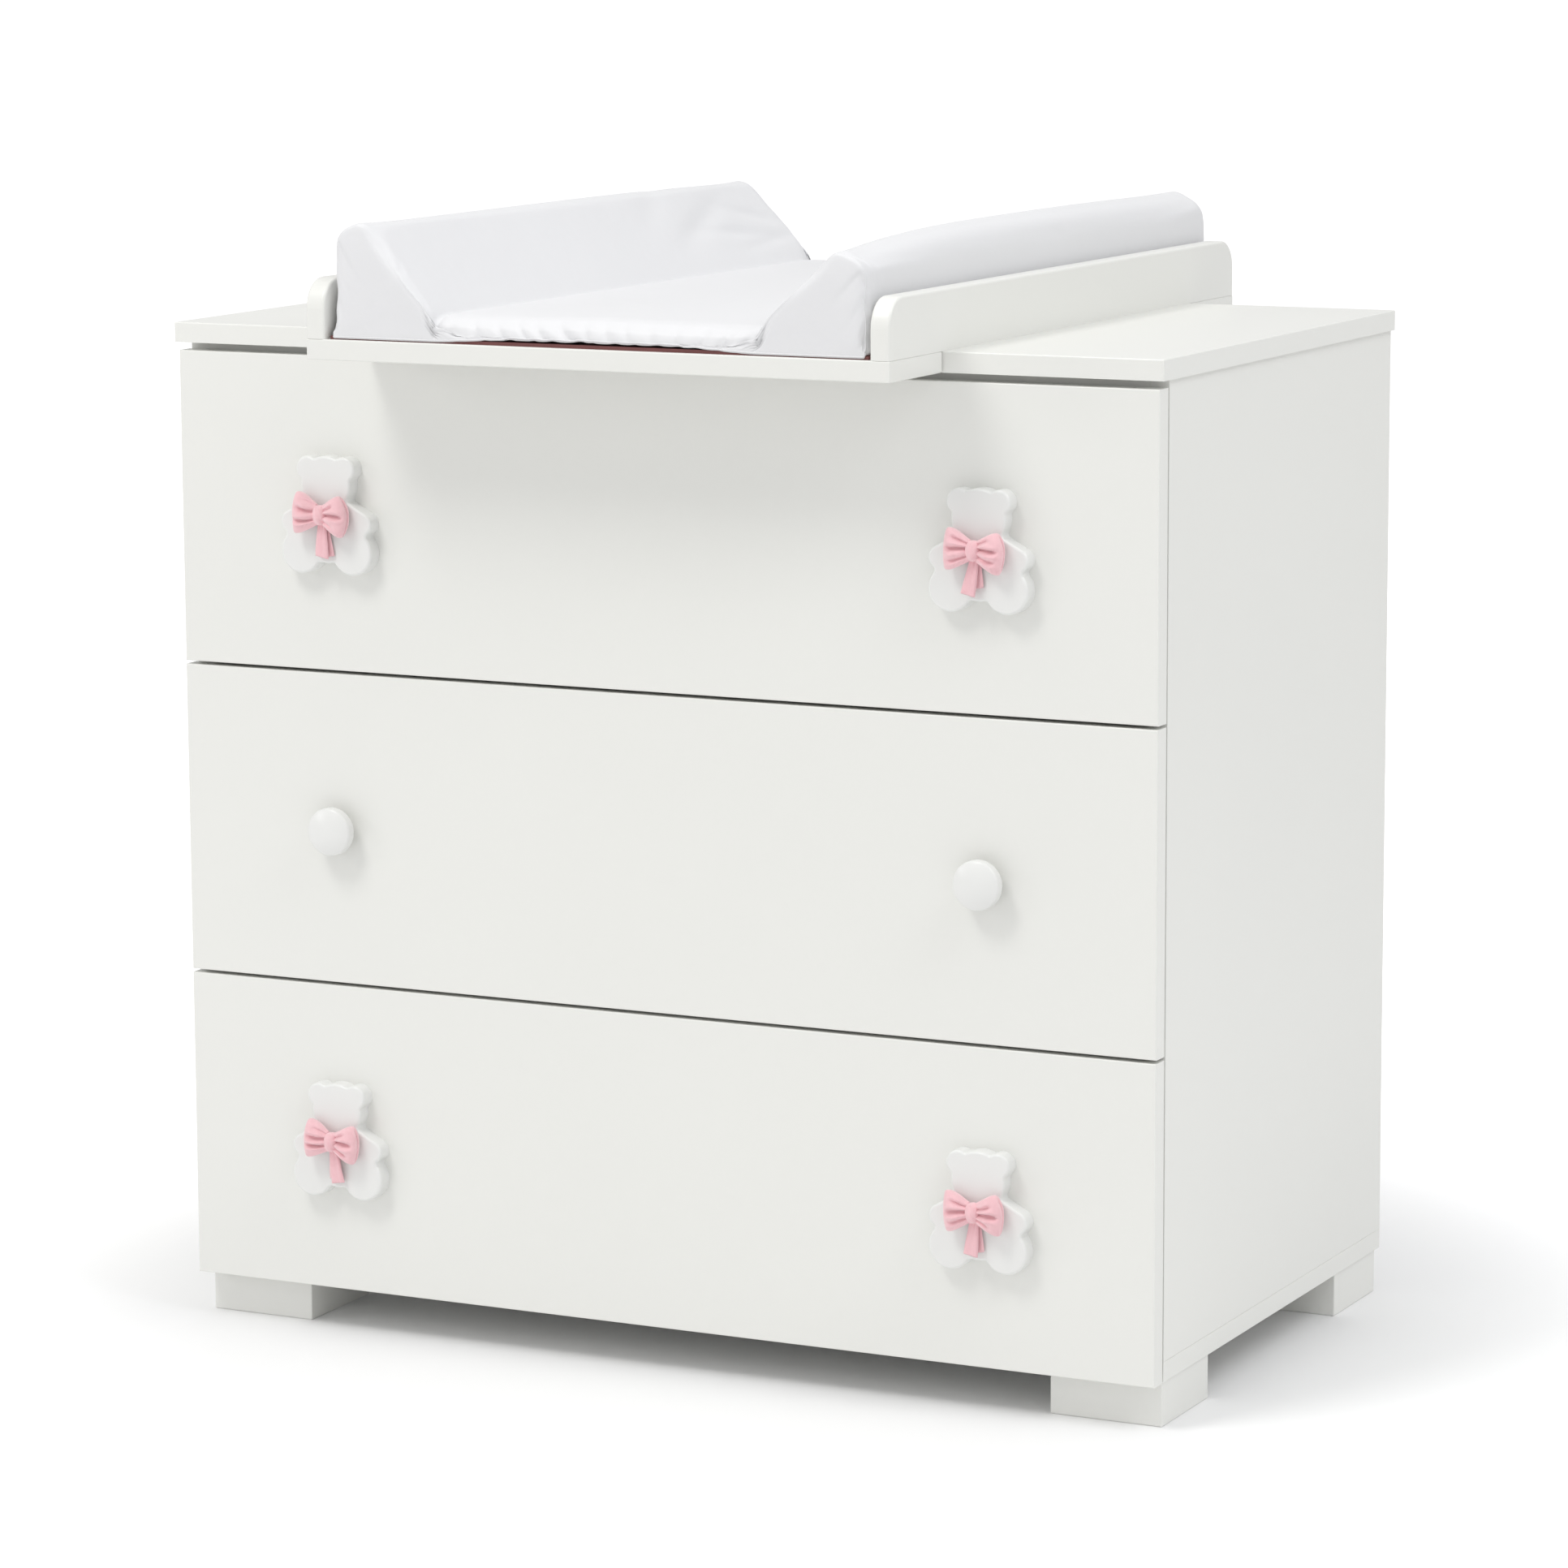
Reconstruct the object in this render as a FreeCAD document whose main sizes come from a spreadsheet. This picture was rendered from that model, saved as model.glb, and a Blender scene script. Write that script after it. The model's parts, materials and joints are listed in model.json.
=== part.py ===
import FreeCAD, Part
import math
import os
import re
import Sketcher

# Changing table: a three-drawer cabinet on block feet, a lift-off tray that hooks over its top,
# and a changing mat with side bolsters in the tray. Millimetres, +Z up, the drawers open towards -Y.
# The origin is on the floor under the middle of the cabinet top.

SIZES = {
    # cabinet
    "cabinet_width": 950,
    "cabinet_depth": 546,
    "panel": 18,
    "top_side_overhang": 4,
    "top_front_overhang": 1,
    "foot_height": 40,
    "foot_side": 104,
    "foot_inset": 2,
    "foot_back_inset": 8,
    "back_board": 5,
    "back_inset": 8,
    "rail_depth": 80,
    "edge_ease": 1.2,
    "seam_ease": 0.6,
    "dowel_diameter": 8,
    "dowel_length": 30,
    "dowel_end_gap": 1,
    "dowel_skin": 3,
    "hole_clearance": 0.4,
    # drawers
    "drawer_height": 281,
    "drawer_gap": 3,
    "top_slot": 7,
    "front_board": 18,
    "front_gap": 3,
    "box_lift": 28,
    "box_top_gap": 53,
    "box_back_gap": 65,
    "box_board": 15,
    "box_bottom": 6,
    "groove_rise": 12,
    "groove_depth": 6,
    "groove_slack": 0.3,
    # telescopic runners
    "runner_space": 13,
    "runner_height": 45,
    "runner_rise": 60,
    "runner_steel": 1.5,
    "runner_play": 0.5,
    "runner_lip": 9,
    # handles
    "handle_spacing": 634,
    "knob_radius": 21.5,
    "knob_foot": 12,
    "knob_neck": 9,
    "knob_stem": 9,
    "knob_reach": 25,
    "knob_dome_radius": 44,
    "knob_rim_ease": 3,
    "bear_board": 15,
    "bear_ease": 2.5,
    "bear_notch": 4,
    "head_radius": 25,
    "head_rise": 80.5,
    "ear_radius": 11,
    "ear_spread": 18.5,
    "ear_rise": 94,
    "neck_turn": 54,
    "arm_radius": 10,
    "arm_spread": 36,
    "arm_rise": 46,
    "belly_radius": 28,
    "belly_rise": 38,
    "leg_radius": 20,
    "leg_spread": 26,
    "bow_half_width": 29,
    "bow_loop_height": 38,
    "bow_waist": 14,
    "bow_thickness": 16,
    "bow_tail_width": 16,
    "bow_tail_length": 38,
    "bow_tail_thickness": 5,
    "bow_rise": 54,
    "screw_diameter": 4,
    "screw_head": 8,
    "screw_head_height": 2.5,
    "screw_grip": 9,
    "bear_screw_pitch": 36,
    # tray and mat
    "tray_width": 557,
    "tray_overhang": 105,
    "tray_hook_gap": 1,
    "tray_board": 18,
    "rail_board": 18,
    "rail_height": 52,
    "rail_corner": 26,
    "rail_ease": 2.5,
    "mat_side_gap": 3.5,
    "mat_end_gap": 5,
    "mat_base": 3,
    "pad_height": 22,
    "bolster_foot": 100,
    "bolster_height": 99,
    "bolster_lean": 13,
    "bolster_crest": 9,
    "soft_gap": 0.3,
}

document = FreeCAD.newDocument("changing_table")
sheet = document.addObject("Spreadsheet::Sheet", "Sizes")
for row, (name, size) in enumerate(SIZES.items(), start=1):
    sheet.set(f"A{row}", name)
    sheet.set(f"B{row}", str(size))
    sheet.setAlias(f"B{row}", name)
document.recompute()

# Lengths that follow from the driving ones, as formulas over the sheet's names.
TOP_DEPTH = "(cabinet_depth + top_front_overhang)"
FACE_Y = f"(top_front_overhang - {TOP_DEPTH} / 2)"
CARCASS_Y = f"({FACE_Y} + front_board + front_gap)"
REAR_Y = f"({TOP_DEPTH} / 2)"
CARCASS_DEPTH = f"({REAR_Y} - {CARCASS_Y})"
INNER_WIDTH = "(cabinet_width - 2 * panel)"
FLOOR_Z = "(foot_height + panel)"
TOP_Z = "(foot_height + 3 * drawer_height + 2 * drawer_gap + top_slot)"
SIDE_HEIGHT = f"({TOP_Z} - {FLOOR_Z})"
TRAY_Z = f"({TOP_Z} + panel)"
BOX_WIDTH = f"({INNER_WIDTH} - 2 * runner_space)"
BOX_Y = f"({FACE_Y} + front_board)"
BACK_Y = f"({REAR_Y} - back_inset - back_board)"
BOX_LENGTH = f"({BACK_Y} - box_back_gap - {BOX_Y})"
BOX_HEIGHT = "(drawer_height - box_lift - box_top_gap)"
TRAY_LENGTH = f"({TOP_DEPTH} + 2 * tray_overhang)"
MAT_HALF = "(tray_width / 2 - rail_board - mat_side_gap)"
MAT_LENGTH = f"({TRAY_LENGTH} - 2 * mat_end_gap)"
MAT_Z = f"({TRAY_Z} + mat_base)"
SIDES = (("left", -1), ("right", 1))
DRAWERS = ("bottom", "middle", "top")

nodes = {}


def bind(formula):
    """Return a formula over the sheet's names as an expression of the document."""
    return re.sub(r"\b[a-z_]+\b", lambda word: "Sizes." + word.group(), formula)


def number(formula):
    """Return what a formula over the sheet's names comes to."""
    return float(sheet.evalExpression(bind(formula)))


def place(piece, x, y, z):
    """Bind a piece's position to three formulas."""
    for axis, formula in zip("xyz", (x, y, z)):
        piece.setExpression(f"Placement.Base.{axis}", bind(formula))


def block(label, width, depth, height, mid_x, front_y, base_z):
    """A box centred on mid_x, running back from front_y and up from base_z."""
    box = document.addObject("Part::Box", label)
    box.Label = label
    box.setExpression("Length", bind(width))
    box.setExpression("Width", bind(depth))
    box.setExpression("Height", bind(height))
    place(box, f"{mid_x} - ({width}) / 2", front_y, base_z)
    return box


def rod(label, diameter, length, x, y, z, along="z"):
    """A round rod that runs from its position along +Z, or along +Y."""
    cylinder = document.addObject("Part::Cylinder", label)
    cylinder.Label = label
    cylinder.setExpression("Radius", bind(f"({diameter}) / 2"))
    cylinder.setExpression("Height", bind(length))
    if along == "y":
        cylinder.Placement.Rotation = FreeCAD.Rotation(FreeCAD.Vector(1, 0, 0), -90)
    place(cylinder, x, y, z)
    return cylinder


def gather(label, pieces):
    """Several separate solids as one sub-part."""
    compound = document.addObject("Part::Compound", label)
    compound.Label = label
    compound.Links = pieces
    return compound


def cut(label, base, tools):
    """A piece with its holes and grooves taken out."""
    tool = gather(label + "_tools", tools)
    result = document.addObject("Part::Cut", label)
    result.Label = label
    result.Base = base
    result.Tool = tool
    return result


def eased(label, base, radius, test):
    """A piece with the edges that pass a test rounded."""
    document.recompute()
    size = number(radius)
    rounded = document.addObject("Part::Fillet", label)
    rounded.Label = label
    rounded.Base = base
    rounded.Edges = [
        (index, size, size) for index, edge in enumerate(base.Shape.Edges, start=1) if test(edge)
    ]
    return rounded


def polygon_sketch(body, plane_role, corners):
    """A closed outline of straight lines through corners given as pairs of formulas."""
    sketch = body.newObject("Sketcher::SketchObject", body.Label + "_outline")
    plane = next(item for item in body.Origin.OriginFeatures if item.Role == plane_role)
    sketch.AttachmentSupport = (plane, [""])
    sketch.MapMode = "FlatFace"
    spots = [FreeCAD.Vector(number(x), number(y), 0) for x, y in corners]
    for index, spot in enumerate(spots):
        sketch.addGeometry(Part.LineSegment(spot, spots[(index + 1) % len(spots)]))
    for index in range(len(spots)):
        sketch.addConstraint(Sketcher.Constraint("Coincident", index, 2, (index + 1) % len(spots), 1))
    for index, (x, y) in enumerate(corners):
        for kind, formula in (("DistanceX", x), ("DistanceY", y)):
            spot = sketch.addConstraint(
                Sketcher.Constraint(kind, -1, 1, index, 1, number(formula))
            )
            sketch.setExpression(f"Constraints[{spot}]", bind(formula))
    return sketch


def padded_body(label, plane_role, corners, length, middle=False):
    """A PartDesign body with one outline padded to a length."""
    body = document.addObject("PartDesign::Body", label)
    body.Label = label
    sketch = polygon_sketch(body, plane_role, corners)
    pad = body.newObject("PartDesign::Pad", label + "_pad")
    pad.Profile = sketch
    pad.setExpression("Length", bind(length))
    pad.Midplane = middle
    document.recompute()
    return body, pad


def round_body_edges(body, base, radius, test):
    """Fillet the edges of a body's last feature that pass a test."""
    names = [f"Edge{index}" for index, edge in enumerate(base.Shape.Edges, start=1) if test(edge)]
    fillet = body.newObject("PartDesign::Fillet", body.Label + "_round")
    fillet.Base = (base, names)
    fillet.setExpression("Radius", bind(radius))
    document.recompute()
    return fillet


def keep(piece):
    """List a finished piece as a sub-part that is written out."""
    nodes[piece.Label] = piece


def along(axis):
    """Return a test for straight edges that run along one axis."""
    def test(edge):
        start, end = edge.Vertexes[0].Point, edge.Vertexes[-1].Point
        step = end - start
        others = [abs(step[index]) for index in range(3) if index != axis]
        return abs(step[axis]) > 1 and max(others) < 0.01
    return test


def straight(edge):
    """Tell whether an edge is straight, as every edge of a board is."""
    return edge.Curve.TypeId == "Part::GeomLine"


def on_plane(axis, formula):
    """Return a test for edges that lie wholly in a plane across one axis."""
    height = number(formula)

    def test(edge):
        box = edge.BoundBox
        low, high = ((box.XMin, box.XMax), (box.YMin, box.YMax), (box.ZMin, box.ZMax))[axis]
        return abs(low - height) < 0.01 and abs(high - height) < 0.01
    return test





# ---------------------------------------------------------------- cabinet

def dowel_spots():
    """Where the vertical dowels stand: in the middle of each side panel's edges."""
    spots = []
    for name, sign in SIDES:
        x = f"{sign} * (cabinet_width / 2 - panel / 2)"
        spots.append((name + "_front", x, f"{CARCASS_Y} + rail_depth / 2"))
        spots.append((name + "_back", x, f"{REAR_Y} - rail_depth"))
    return spots


def dowel_rods(label, extra, base_z):
    """One rod for each dowel spot, with its ends and sides grown by the given clearances."""
    grown = f"dowel_diameter + {extra}"
    length = "dowel_length" if extra == "0" else "dowel_length + 2 * dowel_end_gap"
    start = base_z if extra == "0" else f"{base_z} - dowel_end_gap"
    return [rod(f"{label}_{name}", grown, length, x, y, start) for name, x, y in dowel_spots()]


DOWEL_LOW = "(foot_height + dowel_skin)"
DOWEL_HIGH = f"({TRAY_Z} - dowel_skin - dowel_length)"


def build_cabinet():
    """Bottom, sides, top, back and rails of the cabinet, with its dowels."""
    low_holes = dowel_rods("hole_low", "hole_clearance", DOWEL_LOW)
    high_holes = dowel_rods("hole_high", "hole_clearance", DOWEL_HIGH)
    low_dowels = dowel_rods("dowel_low", "0", DOWEL_LOW)
    high_dowels = dowel_rods("dowel_high", "0", DOWEL_HIGH)
    keep(gather("panel_dowels", low_dowels + high_dowels))
    bottom = block("bottom_blank", "cabinet_width", CARCASS_DEPTH, "panel", "0", CARCASS_Y, "foot_height")
    smooth = eased("bottom_eased", bottom, "seam_ease", straight)
    keep(cut("bottom_panel", smooth, low_holes))
    for index, (name, sign) in enumerate(SIDES):
        mid_x = f"{sign} * (cabinet_width - panel) / 2"
        blank = block(f"side_{name}_blank", "panel", CARCASS_DEPTH, SIDE_HEIGHT, mid_x, CARCASS_Y, FLOOR_Z)
        smooth = eased(f"side_{name}_eased", blank, "seam_ease", straight)
        own = slice(2 * index, 2 * index + 2)
        keep(cut(f"side_panel_{name}", smooth, low_holes[own] + high_holes[own]))
    width = "cabinet_width + 2 * top_side_overhang"
    slab = block("top_blank", width, TOP_DEPTH, "panel", "0", f"-{REAR_Y}", TOP_Z)
    upright = along(2)
    rim = on_plane(2, TRAY_Z)
    smooth = eased("top_eased", slab, "edge_ease", lambda edge: upright(edge) or rim(edge))
    keep(cut("top_panel", smooth, high_holes))
    keep(block("back_panel", INNER_WIDTH, "back_board", SIDE_HEIGHT, "0", BACK_Y, FLOOR_Z))
    rail_z = f"{TOP_Z} - panel"
    keep(block("front_rail", INNER_WIDTH, "rail_depth", "panel", "0", CARCASS_Y, rail_z))
    keep(block("rear_rail", INNER_WIDTH, "rail_depth", "panel", "0", f"{BACK_Y} - rail_depth", rail_z))


def build_feet():
    """Four square block feet under the corners of the bottom panel."""
    rows = (
        ("front", f"{CARCASS_Y} + foot_inset"),
        ("rear", f"{REAR_Y} - foot_back_inset - foot_side"),
    )
    for name, sign in SIDES:
        mid_x = f"{sign} * (cabinet_width / 2 - foot_inset - foot_side / 2)"
        for row_name, front_y in rows:
            label = f"foot_{row_name}_{name}"
            raw = block(label + "_blank", "foot_side", "foot_side", "foot_height", mid_x, front_y, "0")
            keep(eased(label, raw, "edge_ease", straight))


# ---------------------------------------------------------------- runners

def channel(label, sign, web, near, far, height, base_y, length, mid_z):
    """A runner member: a C section of sheet steel whose web is at near or at far.

    near and far are measured from the cabinet's side panel towards the drawer.
    """
    reach = f"({far} - {near})"
    wall_x = f"({INNER_WIDTH} / 2)"
    middle = f"{sign} * ({wall_x} - ({near} + {far}) / 2)"
    outer = block(label + "_outer", reach, length, height, middle, base_y, f"{mid_z} - ({height}) / 2")
    shift = "runner_steel" if web == "near" else "-runner_steel"
    hollow = f"({height} - 2 * runner_steel)"
    hollow_x = f"{sign} * ({wall_x} - ({near} + {far}) / 2 - {shift})"
    inner = block(label + "_hollow", reach, length, hollow, hollow_x, base_y, f"{mid_z} - {hollow} / 2")
    member = document.addObject("Part::Cut", label)
    member.Label = label
    member.Base = outer
    member.Tool = inner
    return member


MID_HEIGHT = "(runner_height - 2 * runner_steel - 2 * runner_play)"
INNER_HEIGHT = f"({MID_HEIGHT} - 2 * runner_steel - 2 * runner_play)"


def build_runners(name, drawer_z):
    """The outer, middle and inner members of a drawer's two runners."""
    mid_z = f"({drawer_z} + box_lift + runner_rise)"
    members = {
        "outer": ("near", "0", "runner_lip", "runner_height", CARCASS_Y),
        "mid": ("near", "(runner_steel + runner_play)", "(runner_lip + 1)", MID_HEIGHT, CARCASS_Y),
        "inner": ("far", "2 * (runner_steel + runner_play)", "runner_space", INNER_HEIGHT, CARCASS_Y),
    }
    for member, (web, near, far, height, base_y) in members.items():
        pair = [
            channel(f"{member}_{name}_{side}", sign, web, near, far, height, base_y,
                    BOX_LENGTH, mid_z)
            for side, sign in SIDES
        ]
        keep(gather(f"runner_{member}_{name}", pair))


# ---------------------------------------------------------------- drawers

def build_box(name, drawer_z):
    """The sides, back and bottom of a drawer's box, the bottom held in grooves."""
    base_z = f"({drawer_z} + box_lift)"
    groove_z = f"({base_z} + groove_rise)"
    inner_width = f"({BOX_WIDTH} - 2 * box_board)"
    back_y = f"({BOX_Y} + {BOX_LENGTH} - box_board)"
    panel_width = f"({inner_width} + 2 * groove_depth - 2 * groove_slack)"
    panel_depth = f"({BOX_LENGTH} - box_board + groove_depth - groove_slack)"
    groove_width = f"({inner_width} + 2 * groove_depth)"
    groove_length = f"({BOX_LENGTH} - box_board + groove_depth)"
    for side, sign in SIDES:
        mid_x = f"{sign} * ({BOX_WIDTH} - box_board) / 2"
        raw = block(f"{name}_{side}_blank", "box_board", BOX_LENGTH, BOX_HEIGHT, mid_x, BOX_Y, base_z)
        slot = block(f"{name}_{side}_groove", groove_width, groove_length, "box_bottom", "0", BOX_Y, groove_z)
        keep(cut(f"drawer_{name}_side_{side}", raw, [slot]))
    raw = block(f"{name}_back_blank", inner_width, "box_board", BOX_HEIGHT, "0", back_y, base_z)
    slot = block(f"{name}_back_groove", groove_width, groove_length, "box_bottom", "0", BOX_Y, groove_z)
    keep(cut(f"drawer_{name}_back", raw, [slot]))
    keep(block(f"drawer_{name}_bottom", panel_width, panel_depth, "box_bottom", "0", BOX_Y, groove_z))


def screw_spots(name, drawer_z):
    """Where the handle screws pass through a drawer's front."""
    mid_z = f"({drawer_z} + drawer_height / 2)"
    steps = (("", "0"),) if name == "middle" else (("_low", "-bear_screw_pitch / 2"),
                                                   ("_high", "bear_screw_pitch / 2"))
    return [
        (side + step_name, f"{sign} * handle_spacing / 2", f"{mid_z} + {step}")
        for side, sign in SIDES
        for step_name, step in steps
    ]


def build_front(name, drawer_z):
    """A drawer's full-width front with eased edges and its handle screws."""
    half = "cabinet_width / 2"
    corners = [
        (f"-{half}", drawer_z),
        (half, drawer_z),
        (half, f"{drawer_z} + drawer_height"),
        (f"-{half}", f"{drawer_z} + drawer_height"),
    ]
    slab, pad = padded_body(f"{name}_slab", "XZ_Plane", corners, "front_board")
    face = on_plane(1, "-front_board")
    round_body_edges(slab, pad, "edge_ease", face)
    place(slab, "0", BOX_Y, "0")
    spots = screw_spots(name, drawer_z)
    holes = [
        rod(f"{name}_hole_{spot}", "screw_diameter + hole_clearance", "front_board",
            x, FACE_Y, z, along="y")
        for spot, x, z in spots
    ]
    keep(cut(f"drawer_{name}_front", slab, holes))
    screws = []
    for spot, x, z in spots:
        shaft = rod(f"{name}_shaft_{spot}", "screw_diameter", "front_board + screw_grip",
                    x, f"{FACE_Y} - screw_grip", z, along="y")
        head = rod(f"{name}_head_{spot}", "screw_head", "screw_head_height", x, BOX_Y, z, along="y")
        screw = document.addObject("Part::Fuse", f"{name}_screw_{spot}")
        screw.Base = shaft
        screw.Tool = head
        screws.append(screw)
    keep(gather(f"handle_screws_{name}", screws))


# ---------------------------------------------------------------- handles

def bored(label, piece, name, drawer_z, side):
    """A handle with the blind holes that its screws go into."""
    holes = [
        rod(f"{label}_bore_{spot}", "screw_diameter + hole_clearance", "screw_grip + dowel_end_gap",
            x, f"{FACE_Y} - screw_grip - dowel_end_gap", z, along="y")
        for spot, x, z in screw_spots(name, drawer_z)
        if spot.startswith(side)
    ]
    keep(cut(label, piece, holes))


def build_knob(side, sign, drawer_z):
    """A turned mushroom knob: a flared stem under a broad cap with a shallow dome."""
    x = f"{sign} * handle_spacing / 2"
    z = f"{drawer_z} + drawer_height / 2"
    label = f"knob_{side}"
    stem = document.addObject("Part::Cone", label + "_stem")
    stem.setExpression("Radius1", bind("knob_foot"))
    stem.setExpression("Radius2", bind("knob_neck"))
    stem.setExpression("Height", bind("knob_stem"))
    stem.Placement.Rotation = FreeCAD.Rotation(FreeCAD.Vector(1, 0, 0), 90)
    place(stem, x, FACE_Y, z)
    cap = rod(label + "_cap", "2 * knob_radius", "knob_reach - knob_stem",
              x, f"{FACE_Y} - knob_reach", z, along="y")
    blank = document.addObject("Part::Fuse", label + "_blank")
    blank.Base = cap
    blank.Tool = stem
    ball = document.addObject("Part::Sphere", label + "_ball")
    ball.setExpression("Radius", bind("knob_dome_radius"))
    place(ball, x, f"{FACE_Y} - knob_reach + knob_dome_radius", z)
    domed = document.addObject("Part::Common", label + "_domed")
    domed.Base = blank
    domed.Tool = ball
    width = number("2 * knob_radius")

    def rim(edge):
        return edge.BoundBox.XLength > 0.99 * width and edge.BoundBox.YLength < 0.01

    smooth = eased(label + "_eased", domed, "knob_rim_ease", rim)
    bored(f"knob_round_{side}", smooth, "middle", drawer_z, side)


def disc(x, y, radius):
    """A flat round face."""
    circle = Part.Circle(FreeCAD.Vector(x, y, 0), FreeCAD.Vector(0, 0, 1), radius)
    return Part.Face(Part.Wire(circle.toShape()))


def longest_wire(shape):
    """Return the outer boundary of a flat shape."""
    return max(shape.Wires, key=lambda wire: wire.Length)


def bear_plate_shape():
    """A teddy bear's outline cut from board, standing on z = 0 with its back at y = 0."""
    value = {name: float(sheet.get(name)) for name in SIZES}
    faces = [
        disc(0, value["head_rise"], value["head_radius"]),
        disc(0, value["belly_rise"], value["belly_radius"]),
    ]
    for sign in (-1, 1):
        faces.append(disc(sign * value["ear_spread"], value["ear_rise"], value["ear_radius"]))
        faces.append(disc(sign * value["arm_spread"], value["arm_rise"], value["arm_radius"]))
        faces.append(disc(sign * value["leg_spread"], value["leg_radius"], value["leg_radius"]))
    turn = math.radians(value["neck_turn"])
    neck = (value["head_radius"] - 0.3) * math.sin(turn)
    neck_rise = value["head_rise"] - (value["head_radius"] - 0.3) * math.cos(turn)
    run = value["arm_spread"] - neck
    drop = neck_rise - value["arm_rise"]
    lean = math.atan2(drop, run) - math.asin(value["arm_radius"] / math.hypot(run, drop))
    shoulder_x = value["arm_spread"] + value["arm_radius"] * math.sin(lean)
    shoulder_z = value["arm_rise"] + value["arm_radius"] * math.cos(lean)
    torso = [
        (neck, neck_rise),
        (-neck, neck_rise),
        (-shoulder_x, shoulder_z),
        (-value["arm_spread"], value["arm_rise"]),
        (0, value["leg_radius"]),
        (value["arm_spread"], value["arm_rise"]),
        (shoulder_x, shoulder_z),
    ]
    ring = [FreeCAD.Vector(x, z, 0) for x, z in torso]
    faces.append(Part.Face(Part.makePolygon(ring + ring[:1])))
    whole = faces[0].multiFuse(faces[1:]).removeSplitter()
    plate = Part.Face(longest_wire(whole))
    for step in (value["bear_notch"], -value["bear_notch"]):
        plate = Part.Face(longest_wire(plate.makeOffset2D(step, 0)))
    solid = plate.extrude(FreeCAD.Vector(0, 0, value["bear_board"]))
    front = [
        edge for edge in solid.Edges
        if edge.BoundBox.ZMin > value["bear_board"] - 0.01
    ]
    solid = solid.makeFillet(value["bear_ease"], front)
    solid.rotate(FreeCAD.Vector(0, 0, 0), FreeCAD.Vector(1, 0, 0), 90)
    return solid


def build_bear(name, side, sign, drawer_z):
    """A bear-shaped handle plate and the fabric bow in front of its neck."""
    low_z = f"({drawer_z} + drawer_height / 2 - (ear_rise + ear_radius) / 2)"
    plate = document.addObject("Part::Feature", f"bear_{name}_{side}")
    plate.Label = f"bear_{name}_{side}_blank"
    plate.Shape = bear_plate_shape()
    mid_x = f"({sign} * handle_spacing / 2)"
    place(plate, mid_x, FACE_Y, low_z)
    bored(f"bear_plate_{name}_{side}", plate, name, drawer_z, side)
    front_y = f"({FACE_Y} - bear_board - soft_gap)"
    half_waist = "bow_waist / 2"
    half_loop = "bow_loop_height / 2"
    half_tail = "bow_tail_width / 2"
    corners = [
        ("-bow_half_width", f"-{half_loop}"),
        (f"-{half_waist}", f"-{half_waist}"),
        (half_waist, f"-{half_waist}"),
        ("bow_half_width", f"-{half_loop}"),
        ("bow_half_width", half_loop),
        (half_waist, half_waist),
        (f"-{half_waist}", half_waist),
        ("-bow_half_width", half_loop),
    ]
    loops, _ = padded_body(f"bow_loops_{name}_{side}", "XZ_Plane", corners, "bow_thickness")
    place(loops, mid_x, front_y, f"{low_z} + bow_rise")
    tails = block(f"bow_tails_{name}_{side}", "bow_tail_width", "bow_tail_thickness", "bow_tail_length",
                  mid_x, f"{front_y} - bow_tail_thickness", f"{low_z} + bow_rise - bow_tail_length")
    bow = document.addObject("Part::Fuse", f"bear_bow_{name}_{side}")
    bow.Label = f"bear_bow_{name}_{side}"
    bow.Base = loops
    bow.Tool = tails
    keep(bow)


def build_drawers():
    """Three equal drawers, the middle one with turned knobs and the others with bears."""
    for index, name in enumerate(DRAWERS):
        drawer_z = f"(foot_height + {index} * (drawer_height + drawer_gap))"
        build_front(name, drawer_z)
        build_box(name, drawer_z)
        build_runners(name, drawer_z)
        for side, sign in SIDES:
            if name == "middle":
                build_knob(side, sign, drawer_z)
            else:
                build_bear(name, side, sign, drawer_z)


# ---------------------------------------------------------------- tray and mat

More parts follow.
